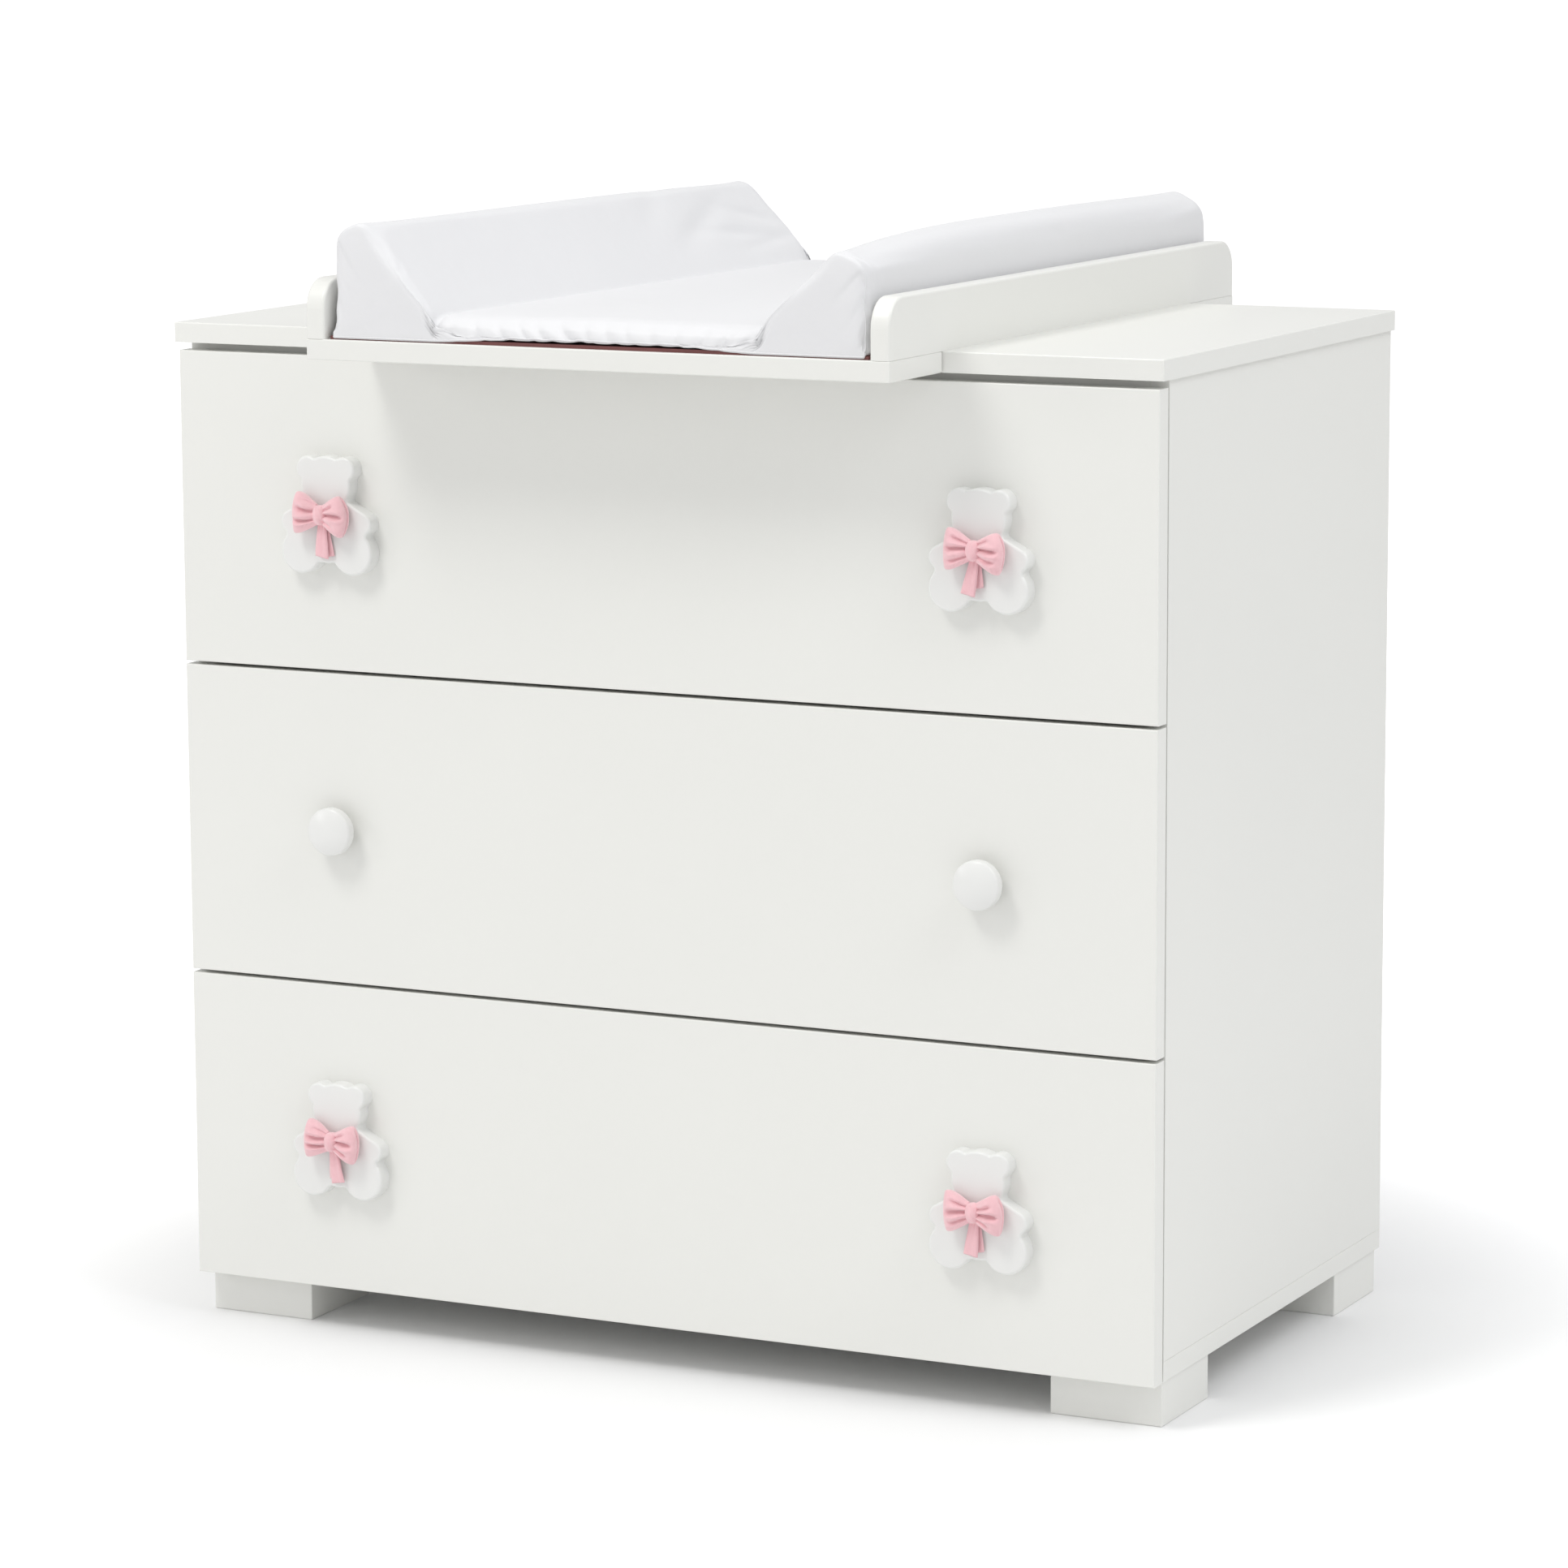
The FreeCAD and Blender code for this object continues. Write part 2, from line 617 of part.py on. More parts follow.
def build_tray():
    """Two rails that rest on the cabinet's top, with a board across each overhanging end."""
    depth = "(tray_overhang - tray_hook_gap)"
    board_z = f"({TRAY_Z} - tray_board)"
    half = f"({TRAY_LENGTH} / 2)"
    rail_mid = "(tray_width - rail_board) / 2"
    rows = (("front", f"-{half}", -1), ("rear", f"{half} - {depth}", 1))
    screws = []
    holes = {}
    for row, front_y, end in rows:
        for side, sign in SIDES:
            for step in (1, 3):
                spot = f"{row}_{side}_{step}"
                x = f"{sign} * {rail_mid}"
                y = f"{front_y} + {step} * {depth} / 4"
                holes[spot] = rod(f"tray_hole_{spot}", "screw_diameter + hole_clearance",
                                  "tray_board + 2 * screw_grip + dowel_end_gap", x, y, board_z)
                screws.append(rod(f"tray_screw_{spot}", "screw_diameter",
                                  "tray_board + 2 * screw_grip", x, y, board_z))
        own = [tool for spot, tool in holes.items() if spot.startswith(row)]
        blank = block(f"tray_{row}_blank", "tray_width", depth, "tray_board", "0", front_y, board_z)
        smooth = eased(f"tray_{row}_eased", blank, "edge_ease", straight)
        keep(cut(f"tray_board_{row}", smooth, own))
    keep(gather("tray_screws", screws))
    for side, sign in SIDES:
        corners = [
            (f"-{half}", "0"),
            (half, "0"),
            (half, "rail_height"),
            (f"-{half}", "rail_height"),
        ]
        body, pad = padded_body(f"rail_{side}_shaped", "YZ_Plane", corners, "rail_board", middle=True)
        across = along(0)
        top = number("rail_height")
        corner = round_body_edges(body, pad, "rail_corner",
                                  lambda edge: across(edge) and edge.BoundBox.ZMax > top - 0.01)
        rim = body.newObject("PartDesign::Fillet", body.Label + "_rim")
        reach = number("rail_board / 2")
        names = [
            f"Edge{index}" for index, edge in enumerate(corner.Shape.Edges, start=1)
            if abs(abs(edge.CenterOfMass.x) - reach) < 0.01 and edge.CenterOfMass.z > 1
        ]
        rim.Base = (corner, names)
        rim.setExpression("Radius", bind("rail_ease"))
        place(body, f"{sign} * {rail_mid}", "0", TRAY_Z)
        own = [tool for spot, tool in holes.items() if f"_{side}_" in spot]
        keep(cut(f"tray_rail_{side}", body, own))


def build_mat():
    """The changing mat: a thin base board, a flat pad and a wedge bolster along each side."""
    keep(block("mat_base_board", f"2 * {MAT_HALF}", MAT_LENGTH, "mat_base", "0",
               f"-{MAT_LENGTH} / 2", TRAY_Z))
    inner = f"({MAT_HALF} - bolster_foot)"
    soft_z = f"({MAT_Z} + soft_gap)"
    keep(block("mat_center_pad", f"2 * ({inner} - soft_gap)", MAT_LENGTH, "pad_height", "0",
               f"-{MAT_LENGTH} / 2", soft_z))
    for side, sign in SIDES:
        corners = [
            (f"{sign} * {inner}", "0"),
            (f"{sign} * {MAT_HALF}", "0"),
            (f"{sign} * ({MAT_HALF} - bolster_lean)", "bolster_height"),
            (f"{sign} * ({MAT_HALF} - bolster_lean - bolster_crest)", "bolster_height"),
            (f"{sign} * {inner}", "pad_height"),
        ]
        body, pad = padded_body(f"mat_bolster_{side}", "XZ_Plane", corners, MAT_LENGTH, middle=True)
        top = number("bolster_height")
        round_body_edges(body, pad, "0.45 * bolster_crest",
                         lambda edge: along(1)(edge) and edge.BoundBox.ZMin > top - 0.01)
        place(body, "0", "0", soft_z)
        keep(body)


build_cabinet()
build_feet()
build_drawers()
build_tray()
build_mat()
document.recompute()

for item in document.Objects:
    if "Invalid" in item.State or "Error" in item.State:
        raise RuntimeError(f"{item.Label} failed: {item.State}")
for label, piece in nodes.items():
    if piece.Shape.isNull() or not piece.Shape.isValid():
        raise RuntimeError(f"{label} has no valid shape")

os.makedirs("parts", exist_ok=True)
for label, piece in nodes.items():
    piece.Shape.exportStep(f"parts/{label}.step")
    box = piece.Shape.BoundBox
    print(f"{label}: {box.XMin:.1f}..{box.XMax:.1f} {box.YMin:.1f}..{box.YMax:.1f} "
          f"{box.ZMin:.1f}..{box.ZMax:.1f} solids {len(piece.Shape.Solids)}")
print(len(nodes), "sub-parts")
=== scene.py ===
"""Looks of a changing table: lacquered cabinet, bear handles with bows, a lift-off tray and its mat."""

import json
import logging
import math
from dataclasses import dataclass, field
from enum import Enum

import bpy
import numpy as np
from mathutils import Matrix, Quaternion, Vector
from mathutils.bvhtree import BVHTree


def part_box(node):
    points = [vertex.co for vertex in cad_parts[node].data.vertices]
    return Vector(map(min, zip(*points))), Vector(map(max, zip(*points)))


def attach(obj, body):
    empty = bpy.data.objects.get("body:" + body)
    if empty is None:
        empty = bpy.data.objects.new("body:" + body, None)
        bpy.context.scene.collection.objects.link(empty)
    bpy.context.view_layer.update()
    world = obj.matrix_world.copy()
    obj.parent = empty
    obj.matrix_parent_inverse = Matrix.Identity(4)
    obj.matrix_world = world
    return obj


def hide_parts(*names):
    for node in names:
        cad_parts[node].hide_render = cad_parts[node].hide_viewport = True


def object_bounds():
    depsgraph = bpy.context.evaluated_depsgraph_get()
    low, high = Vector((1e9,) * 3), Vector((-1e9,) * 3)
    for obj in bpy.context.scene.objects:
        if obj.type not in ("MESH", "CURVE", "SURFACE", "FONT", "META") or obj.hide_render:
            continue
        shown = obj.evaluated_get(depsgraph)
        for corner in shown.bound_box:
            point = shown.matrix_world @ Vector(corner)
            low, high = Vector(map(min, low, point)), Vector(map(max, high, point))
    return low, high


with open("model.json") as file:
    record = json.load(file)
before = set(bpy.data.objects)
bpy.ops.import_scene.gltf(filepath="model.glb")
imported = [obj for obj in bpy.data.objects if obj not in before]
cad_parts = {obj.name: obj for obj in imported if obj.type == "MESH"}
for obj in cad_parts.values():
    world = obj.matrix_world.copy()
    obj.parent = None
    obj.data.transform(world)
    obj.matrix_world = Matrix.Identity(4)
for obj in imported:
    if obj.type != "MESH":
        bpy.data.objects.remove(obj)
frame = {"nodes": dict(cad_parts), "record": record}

MM = 0.001
CAD_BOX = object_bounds()
log = logging.getLogger("changing_table")


# ---------------------------------------------------------------- node groups

class Bench:
    """A short way to place and join nodes in one tree."""

    def __init__(self, tree: bpy.types.NodeTree) -> None:
        """Keep the tree that the nodes go into."""
        self.tree = tree

    def node(self, kind: str, **settings: object) -> bpy.types.Node:
        """Add a node.

        Args:
            kind: The node's Blender type name, without the ShaderNode in front.
            settings: Properties of the node; a name that is an input socket's sets that socket.

        Returns:
            The new node.
        """
        made = self.tree.nodes.new("ShaderNode" + kind)
        for name, value in settings.items():
            socket = name.replace("_", " ")
            if socket in made.inputs:
                made.inputs[socket].default_value = value
            else:
                setattr(made, name, value)
        return made

    def join(self, source: bpy.types.NodeSocket, target: bpy.types.NodeSocket) -> None:
        """Link one socket to another."""
        self.tree.links.new(source, target)

    def math(self, operation: str, first: object, second: object = 0.0) -> bpy.types.NodeSocket:
        """Add a Math node.

        Args:
            operation: The Math node's operation.
            first: A socket or a number.
            second: A socket or a number.

        Returns:
            The result's socket.
        """
        made = self.node("Math", operation=operation)
        for slot, value in enumerate((first, second)):
            if isinstance(value, bpy.types.NodeSocket):
                self.join(value, made.inputs[slot])
            else:
                made.inputs[slot].default_value = value
        return made.outputs[0]

    def noise(self, place: bpy.types.NodeSocket, scale: object, detail: float = 2.0) -> bpy.types.NodeSocket:
        """Add a noise texture over a position, with values from 0 to 1.

        Args:
            place: The position's socket.
            scale: How fine the noise is, a socket or a number.
            detail: How many finer layers it has.

        Returns:
            The value's socket.
        """
        made = self.node("TexNoise", Detail=detail)
        self.join(place, made.inputs["Vector"])
        if isinstance(scale, bpy.types.NodeSocket):
            self.join(scale, made.inputs["Scale"])
        else:
            made.inputs["Scale"].default_value = scale
        return made.outputs["Fac"]

    def position(self) -> bpy.types.NodeSocket:
        """Return the position on the piece, in its own metres."""
        return self.node("TexCoord").outputs["Object"]


def group_tree(name: str, inputs: dict[str, float], outputs: list[str]) -> tuple[Bench, dict, dict]:
    """Start a shader node group.

    Args:
        name: The group's name.
        inputs: Each number that the group takes, with its usual value.
        outputs: The values that the group gives.

    Returns:
        The bench of the group's tree, its input sockets and its output sockets, each by name.
    """
    tree = bpy.data.node_groups.new(name, "ShaderNodeTree")
    for label, usual in inputs.items():
        socket = tree.interface.new_socket(label, in_out="INPUT", socket_type="NodeSocketFloat")
        socket.default_value = usual
    for label in outputs:
        tree.interface.new_socket(label, in_out="OUTPUT", socket_type="NodeSocketFloat")
    enter, leave = tree.nodes.new("NodeGroupInput"), tree.nodes.new("NodeGroupOutput")
    return Bench(tree), {n: enter.outputs[n] for n in inputs}, {n: leave.inputs[n] for n in outputs}


def build_cloudiness() -> bpy.types.NodeTree:
    """Make the group for slow drifts of shade and gloss over a surface, with fine specks in them.

    Returns:
        The group's tree.
    """
    bench, given, out = group_tree(
        "cloudiness", {"Drift scale": 4.0, "Speck scale": 220.0, "Speck share": 0.3}, ["Shade"])
    place = bench.position()
    drift = bench.noise(place, given["Drift scale"], 3.0)
    speck = bench.noise(place, given["Speck scale"], 2.0)
    share = given["Speck share"]
    fine = bench.math("MULTIPLY", speck, share)
    slow = bench.math("MULTIPLY", drift, bench.math("SUBTRACT", 1.0, share))
    bench.join(bench.math("ADD", fine, slow), out["Shade"])
    return bench.tree


def build_peel() -> bpy.types.NodeTree:
    """Make the group for the faint ripple of sprayed lacquer over a slightly wavy board.

    Returns:
        The group's tree.
    """
    bench, given, out = group_tree(
        "sprayed_ripple", {"Ripple scale": 420.0, "Wave scale": 9.0, "Wave share": 0.5}, ["Height"])
    place = bench.position()
    ripple = bench.noise(place, given["Ripple scale"], 1.0)
    wave = bench.noise(place, given["Wave scale"], 1.0)
    bench.join(bench.math("ADD", ripple, bench.math("MULTIPLY", wave, given["Wave share"])), out["Height"])
    return bench.tree


def build_weave() -> bpy.types.NodeTree:
    """Make the group for a plain weave: threads over and under, uneven in thickness.

    Returns:
        The group's tree.
    """
    bench, given, out = group_tree(
        "plain_weave", {"Threads": 1500.0, "Slub": 0.35}, ["Height", "Thread"])
    place = bench.position()
    split = bench.node("SeparateXYZ")
    bench.join(place, split.inputs[0])
    slub = bench.math("MULTIPLY", bench.noise(place, 260.0, 2.0), given["Slub"])
    across = bench.math("ADD", split.outputs["X"], bench.math("MULTIPLY", split.outputs["Y"], 0.35))
    upward = bench.math("ADD", split.outputs["Z"], bench.math("MULTIPLY", split.outputs["Y"], 0.8))
    turns = bench.math("MULTIPLY", given["Threads"], math.pi)
    warp = bench.math("SINE", bench.math("ADD", bench.math("MULTIPLY", across, turns), slub))
    weft = bench.math("SINE", bench.math("ADD", bench.math("MULTIPLY", upward, turns), slub))
    crossing = bench.math("MULTIPLY", warp, weft)
    height = bench.math("ADD", bench.math("MULTIPLY", crossing, 0.5), 0.5)
    bench.join(bench.math("ADD", height, slub), out["Height"])
    bench.join(bench.noise(place, 700.0, 2.0), out["Thread"])
    return bench.tree


def build_wrinkle() -> bpy.types.NodeTree:
    """Make the group for the soft, small wrinkles of a cover over foam.

    Returns:
        The group's tree.
    """
    bench, given, out = group_tree("soft_wrinkle", {"Wrinkle scale": 14.0}, ["Height"])
    place = bench.position()
    broad = bench.noise(place, given["Wrinkle scale"], 3.0)
    fine = bench.noise(place, bench.math("MULTIPLY", given["Wrinkle scale"], 6.0), 2.0)
    bench.join(bench.math("ADD", broad, bench.math("MULTIPLY", fine, 0.22)), out["Height"])
    return bench.tree


def build_grain() -> bpy.types.NodeTree:
    """Make the group for a grain drawn out along one direction, as in board, wood and rolled steel.

    Returns:
        The group's tree.
    """
    bench, given, out = group_tree(
        "drawn_grain", {"Stretch X": 1.0, "Stretch Y": 1.0, "Stretch Z": 1.0, "Fineness": 200.0}, ["Grain"])
    stretch = bench.node("CombineXYZ")
    for axis in "XYZ":
        bench.join(given[f"Stretch {axis}"], stretch.inputs[axis])
    drawn = bench.node("VectorMath", operation="MULTIPLY")
    bench.join(bench.position(), drawn.inputs[0])
    bench.join(stretch.outputs["Vector"], drawn.inputs[1])
    bench.join(bench.noise(drawn.outputs["Vector"], given["Fineness"], 5.0), out["Grain"])
    return bench.tree


class Effect(Enum):
    """The shared effects, each a node group that is built once."""

    CLOUDINESS = "cloudiness"
    PEEL = "sprayed_ripple"
    WEAVE = "plain_weave"
    WRINKLE = "soft_wrinkle"
    GRAIN = "drawn_grain"


EFFECT_BUILDERS = {
    Effect.CLOUDINESS: build_cloudiness,
    Effect.PEEL: build_peel,
    Effect.WEAVE: build_weave,
    Effect.WRINKLE: build_wrinkle,
    Effect.GRAIN: build_grain,
}


# ---------------------------------------------------------------- finishes

Colour = tuple[float, float, float]


@dataclass(frozen=True)
class Finish:
    """What every finish holds: its name, the record's slot and its two near colours."""

    name: str
    slot: str
    light: Colour
    dark: Colour
    roughness: float
    rough_drift: float = 0.06

    def bench(self) -> tuple[Bench, bpy.types.Node, bpy.types.Material]:
        """Start a material with one Principled BSDF.

        Returns:
            The bench, the shader and the material.
        """
        made = bpy.data.materials.new(self.name)
        made.use_nodes = True
        bench = Bench(made.node_tree)
        shader = made.node_tree.nodes["Principled BSDF"]
        return bench, shader, made

    def effect(self, bench: Bench, effect: Effect, **values: float) -> bpy.types.Node:
        """Place a shared effect in a material.

        Args:
            bench: The material's bench.
            effect: The shared effect.
            values: The effect's own numbers, by socket name with underscores for spaces.

        Returns:
            The group node.
        """
        tree = bpy.data.node_groups.get(effect.value) or EFFECT_BUILDERS[effect]()
        made = bench.node("Group", node_tree=tree)
        for name, value in values.items():
            made.inputs[name.replace("_", " ")].default_value = value
        return made

    def colour(self, bench: Bench, shader: bpy.types.Node, mask: bpy.types.NodeSocket) -> None:
        """Drive the base colour between the finish's dark and light by a mask.

        Args:
            bench: The material's bench.
            shader: The Principled BSDF.
            mask: The mask, 0 for the dark colour and 1 for the light one.
        """
        mix = bench.node("Mix", data_type="RGBA")
        mix.inputs["A"].default_value = (*self.dark, 1.0)
        mix.inputs["B"].default_value = (*self.light, 1.0)
        bench.join(mask, mix.inputs["Factor"])
        bench.join(mix.outputs["Result"], shader.inputs["Base Color"])

    def gloss(self, bench: Bench, shader: bpy.types.Node, mask: bpy.types.NodeSocket) -> None:
        """Drive the roughness about its usual value by a mask.

        Args:
            bench: The material's bench.
            shader: The Principled BSDF.
            mask: The mask, from 0 to 1.
        """
        spread = bench.math("MULTIPLY", mask, 2.0 * self.rough_drift)
        bench.join(bench.math("ADD", spread, self.roughness - self.rough_drift), shader.inputs["Roughness"])

    def relief(self, bench: Bench, shader: bpy.types.Node, layers: list[tuple]) -> None:
        """Stack bump layers into the normal.

        Args:
            bench: The material's bench.
            shader: The Principled BSDF.
            layers: Each layer's height socket, its strength, and its depth in metres.
        """
        below = None
        for height, strength, depth in layers:
            bump = bench.node("Bump", Strength=strength, Distance=depth)
            bench.join(height, bump.inputs["Height"])
            if below is not None:
                bench.join(below, bump.inputs["Normal"])
            below = bump.outputs["Normal"]
        bench.join(below, shader.inputs["Normal"])


@dataclass(frozen=True)
class Lacquer(Finish):
    """Satin lacquer sprayed on board: a faint ripple, a slow drift of shade and a thin clear gloss."""

    ripple: float = 420.0
    depth: float = 0.000010
    coat: float = 0.18
    speck: float = 220.0

    def material(self) -> bpy.types.Material:
        """Return the lacquer's material.

        Returns:
            The material.
        """
        bench, shader, made = self.bench()
        cloud = self.effect(bench, Effect.CLOUDINESS, Drift_scale=3.5, Speck_scale=self.speck)
        peel = self.effect(bench, Effect.PEEL, Ripple_scale=self.ripple)
        self.colour(bench, shader, cloud.outputs["Shade"])
        self.gloss(bench, shader, cloud.outputs["Shade"])
        self.relief(bench, shader, [(peel.outputs["Height"], 0.55, self.depth)])
        shader.inputs["Coat Weight"].default_value = self.coat
        shader.inputs["Coat Roughness"].default_value = 0.2
        return made


@dataclass(frozen=True)
class CoatedCloth(Finish):
    """Smooth wipe-clean cover cloth: a fine weave under a thin coating, with soft wrinkles."""

    threads: float = 1300.0
    sheen: float = 0.08

    def material(self) -> bpy.types.Material:
        """Return the cover cloth's material.

        Returns:
            The material.
        """
        bench, shader, made = self.bench()
        cloud = self.effect(bench, Effect.CLOUDINESS, Drift_scale=6.0, Speck_scale=500.0)
        weave = self.effect(bench, Effect.WEAVE, Threads=self.threads, Slub=0.3)
        wrinkle = self.effect(bench, Effect.WRINKLE, Wrinkle_scale=11.0)
        self.colour(bench, shader, cloud.outputs["Shade"])
        self.gloss(bench, shader, cloud.outputs["Shade"])
        self.relief(bench, shader, [
            (wrinkle.outputs["Height"], 0.35, 0.004),
            (weave.outputs["Height"], 0.35, 0.00006),
        ])
        shader.inputs["Sheen Weight"].default_value = self.sheen
        shader.inputs["Sheen Roughness"].default_value = 0.4
        return made


@dataclass(frozen=True)
class Cotton(Finish):
    """Plain-weave cotton with uneven threads, soft and without gloss."""

    threads: float = 1150.0
    sheen: float = 0.55

    def material(self) -> bpy.types.Material:
        """Return the cotton's material.

        Returns:
            The material.
        """
        bench, shader, made = self.bench()
        weave = self.effect(bench, Effect.WEAVE, Threads=self.threads, Slub=1.6)
        cloud = self.effect(bench, Effect.CLOUDINESS, Drift_scale=60.0, Speck_scale=900.0, Speck_share=0.5)
        threads = bench.math("MULTIPLY", weave.outputs["Height"], 0.5)
        spots = bench.math("MULTIPLY", cloud.outputs["Shade"], 0.75)
        shade = bench.math("ADD", threads, spots)
        self.colour(bench, shader, shade)
        self.gloss(bench, shader, weave.outputs["Thread"])
        wrinkle = self.effect(bench, Effect.WRINKLE, Wrinkle_scale=120.0)
        self.relief(bench, shader, [
            (wrinkle.outputs["Height"], 0.5, 0.0009),
            (weave.outputs["Height"], 0.8, 0.00022),
        ])
        shader.inputs["Sheen Weight"].default_value = self.sheen
        shader.inputs["Sheen Roughness"].default_value = 0.6
        return made


@dataclass(frozen=True)
class Fibreboard(Finish):
    """Thin pressed board: short fibres that show as fine streaks and specks."""

    streak: float = 90.0

    def material(self) -> bpy.types.Material:
        """Return the pressed board's material.

        Returns:
            The material.
        """
        bench, shader, made = self.bench()
        fibres = self.effect(bench, Effect.GRAIN, Stretch_Y=0.25, Fineness=self.streak).outputs["Grain"]
        cloud = self.effect(bench, Effect.CLOUDINESS, Drift_scale=12.0, Speck_scale=380.0, Speck_share=0.6)
        shade = bench.math("MULTIPLY", bench.math("ADD", fibres, cloud.outputs["Shade"]), 0.5)
        self.colour(bench, shader, shade)
        self.gloss(bench, shader, fibres)
        self.relief(bench, shader, [(fibres, 0.4, 0.00015)])
        return made


@dataclass(frozen=True)
class ZincSteel(Finish):
    """Zinc-plated sheet steel: rolled streaks along the member and a cloudy plating."""

    streak: float = 500.0

    def material(self) -> bpy.types.Material:
        """Return the plated steel's material.

        Returns:
            The material.
        """
        bench, shader, made = self.bench()
        rolled = self.effect(bench, Effect.GRAIN, Stretch_Y=0.02, Fineness=self.streak).outputs["Grain"]
        cloud = self.effect(bench, Effect.CLOUDINESS, Drift_scale=35.0, Speck_scale=300.0, Speck_share=0.4)
        self.colour(bench, shader, cloud.outputs["Shade"])
        self.gloss(bench, shader, rolled)
        self.relief(bench, shader, [(rolled, 0.3, 0.00004)])
        shader.inputs["Metallic"].default_value = 1.0
        return made


@dataclass(frozen=True)
class Beech(Finish):
    """Turned beech: straight close grain along the dowel with short flecks."""

    grain: float = 260.0

    def material(self) -> bpy.types.Material:
        """Return the beech's material.

        Returns:
            The material.
        """
        bench, shader, made = self.bench()
        grain = self.effect(bench, Effect.GRAIN, Stretch_Z=0.06, Fineness=self.grain).outputs["Grain"]
        self.colour(bench, shader, grain)
        self.gloss(bench, shader, grain)
        self.relief(bench, shader, [(grain, 0.4, 0.0001)])
        return made


@dataclass(frozen=True)
class Paper(Finish):
    """A plain matt studio floor with painted light: it glows for the camera alone, more the farther it lies
    from the object, so the far floor reads white.
    """

    glow: float = 0.62
    near: float = 0.5
    far: float = 1.2

    def material(self) -> bpy.types.Material:
        """Return the studio floor's material.

        Returns:
            The material.
        """
        bench, shader, made = self.bench()
        cloud = self.effect(bench, Effect.CLOUDINESS, Drift_scale=1.5, Speck_scale=90.0)
        self.gloss(bench, shader, cloud.outputs["Shade"])
        self.colour(bench, shader, cloud.outputs["Shade"])
        # Painted light: an emission that only camera rays see, rising with the distance from the object.
        seen = bench.node("LightPath").outputs["Is Camera Ray"]
        away = bench.node("VectorMath", operation="LENGTH")
        bench.join(bench.position(), away.inputs[0])
        painted_glow = bench.node("MapRange", interpolation_type="SMOOTHSTEP")
        for name, value in (("From Min", self.near), ("From Max", self.far), ("To Max", self.glow)):
            painted_glow.inputs[name].default_value = value
        bench.join(away.outputs["Value"], painted_glow.inputs["Value"])
        bench.join(bench.math("MULTIPLY", painted_glow.outputs["Result"], seen), shader.inputs["Emission Strength"])
        shader.inputs["Specular IOR Level"].default_value = 0.15
        shader.inputs["Emission Color"].default_value = (1.0, 1.0, 1.0, 1.0)
        return made


FINISHES = (
    Lacquer("white_lacquer", "white_lacquer", (0.835, 0.835, 0.803), (0.805, 0.806, 0.776), 0.34),
    Lacquer("handle_paint", "handle_paint", (0.825, 0.827, 0.812), (0.80, 0.802, 0.79), 0.33,
            coat=0.2, ripple=260.0, depth=0.000003, speck=90.0),
    Lacquer("drawer_melamine", "drawer_board", (0.885, 0.885, 0.872), (0.845, 0.845, 0.834), 0.5,
            coat=0.0, ripple=900.0, depth=0.00001),
    Fibreboard("thin_white_board", "thin_board", (0.88, 0.88, 0.87), (0.82, 0.82, 0.81), 0.55),
    Fibreboard("red_brown_board", "mat_base_board", (0.22, 0.075, 0.07), (0.11, 0.035, 0.035), 0.6),
    Beech("beech", "dowel_wood", (0.74, 0.56, 0.37), (0.58, 0.40, 0.24), 0.55),
    ZincSteel("zinc_runner", "runner_steel", (0.70, 0.71, 0.73), (0.55, 0.56, 0.58), 0.34, 0.1),
    ZincSteel("zinc_screw", "screw_steel", (0.74, 0.75, 0.76), (0.60, 0.61, 0.62), 0.28),
    CoatedCloth("cover_cloth", "mat_cover", (0.775, 0.775, 0.790), (0.755, 0.755, 0.772), 0.5),
    Cotton("bow_cotton", "bow_cotton", (0.90, 0.545, 0.585), (0.66, 0.275, 0.325), 0.85, 0.05),
)


class Wardrobe:
    """All finishes as materials, found by the record's slot."""

    def __init__(self) -> None:
        """Build every finish once."""
        self.by_slot = {finish.slot: finish.material() for finish in FINISHES}
        self.slot_of = {row["node"]: row["material_slot"] for row in frame["record"]["subparts"]}
        self.dressed: set[str] = set()

    def dress(self, piece: bpy.types.Object, slot: str) -> None:
        """Give a piece the finish of a slot, say which slot it is, and report it.

        Args:
            piece: The piece.
            slot: The record's material slot.
        """
        piece.data.materials.clear()
        piece.data.materials.append(self.by_slot[slot])
        log.info("%s in %s", piece.name, slot)

    def dress_node(self, name: str) -> None:
        """Give a made piece of the frame the finish of its own slot, and report it.

        Args:
            name: The piece's node name.
        """
        node = frame["nodes"][name]
        node.data.materials.clear()
        node.data.materials.append(self.by_slot[self.slot_of[name]])
        self.dressed.add(name)
        log.info("%s in %s", name, self.slot_of[name])

    def check(self) -> None:
        """Stop if a piece of the frame was left without a finish."""
        bare = sorted(set(frame["nodes"]) - self.dressed)
        if bare:
            raise RuntimeError(f"pieces without a finish: {bare}")


# ---------------------------------------------------------------- cabinet, drawers and tray

class Level(Enum):
    """The three drawers, by their place in the cabinet."""

    BOTTOM = "bottom"
    MIDDLE = "middle"
    TOP = "top"


class Grip(Enum):
    """The two sorts of drawer handle."""

    BEAR = "bear"
    KNOB = "knob"


SIDES = ("left", "right")


@dataclass
class Assembly:
    """A sub-assembly of named pieces, with its size over all of them."""

    width: float = field(init=False)
    depth: float = field(init=False)
    height: float = field(init=False)

    def __post_init__(self) -> None:
        """Measure the sub-assembly from its pieces' boxes."""
        boxes = [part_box(name) for name in self.pieces()]
        self.width, self.depth, self.height = (
            max(high[axis] for _, high in boxes) - min(low[axis] for low, _ in boxes) for axis in range(3))

    def pieces(self) -> list[str]:
        """Give the names of the frame's pieces that belong to this sub-assembly."""
        raise NotImplementedError

    def assemble(self, wardrobe: Wardrobe) -> None:
        """Dress every piece in the finish of its slot.

        Args:
            wardrobe: The finishes.
        """
        for name in self.pieces():
            wardrobe.dress_node(name)
        size = " x ".join(f"{side / MM:.0f}" for side in (self.width, self.depth, self.height))
        log.info("%s, %s mm", type(self).__name__, size)


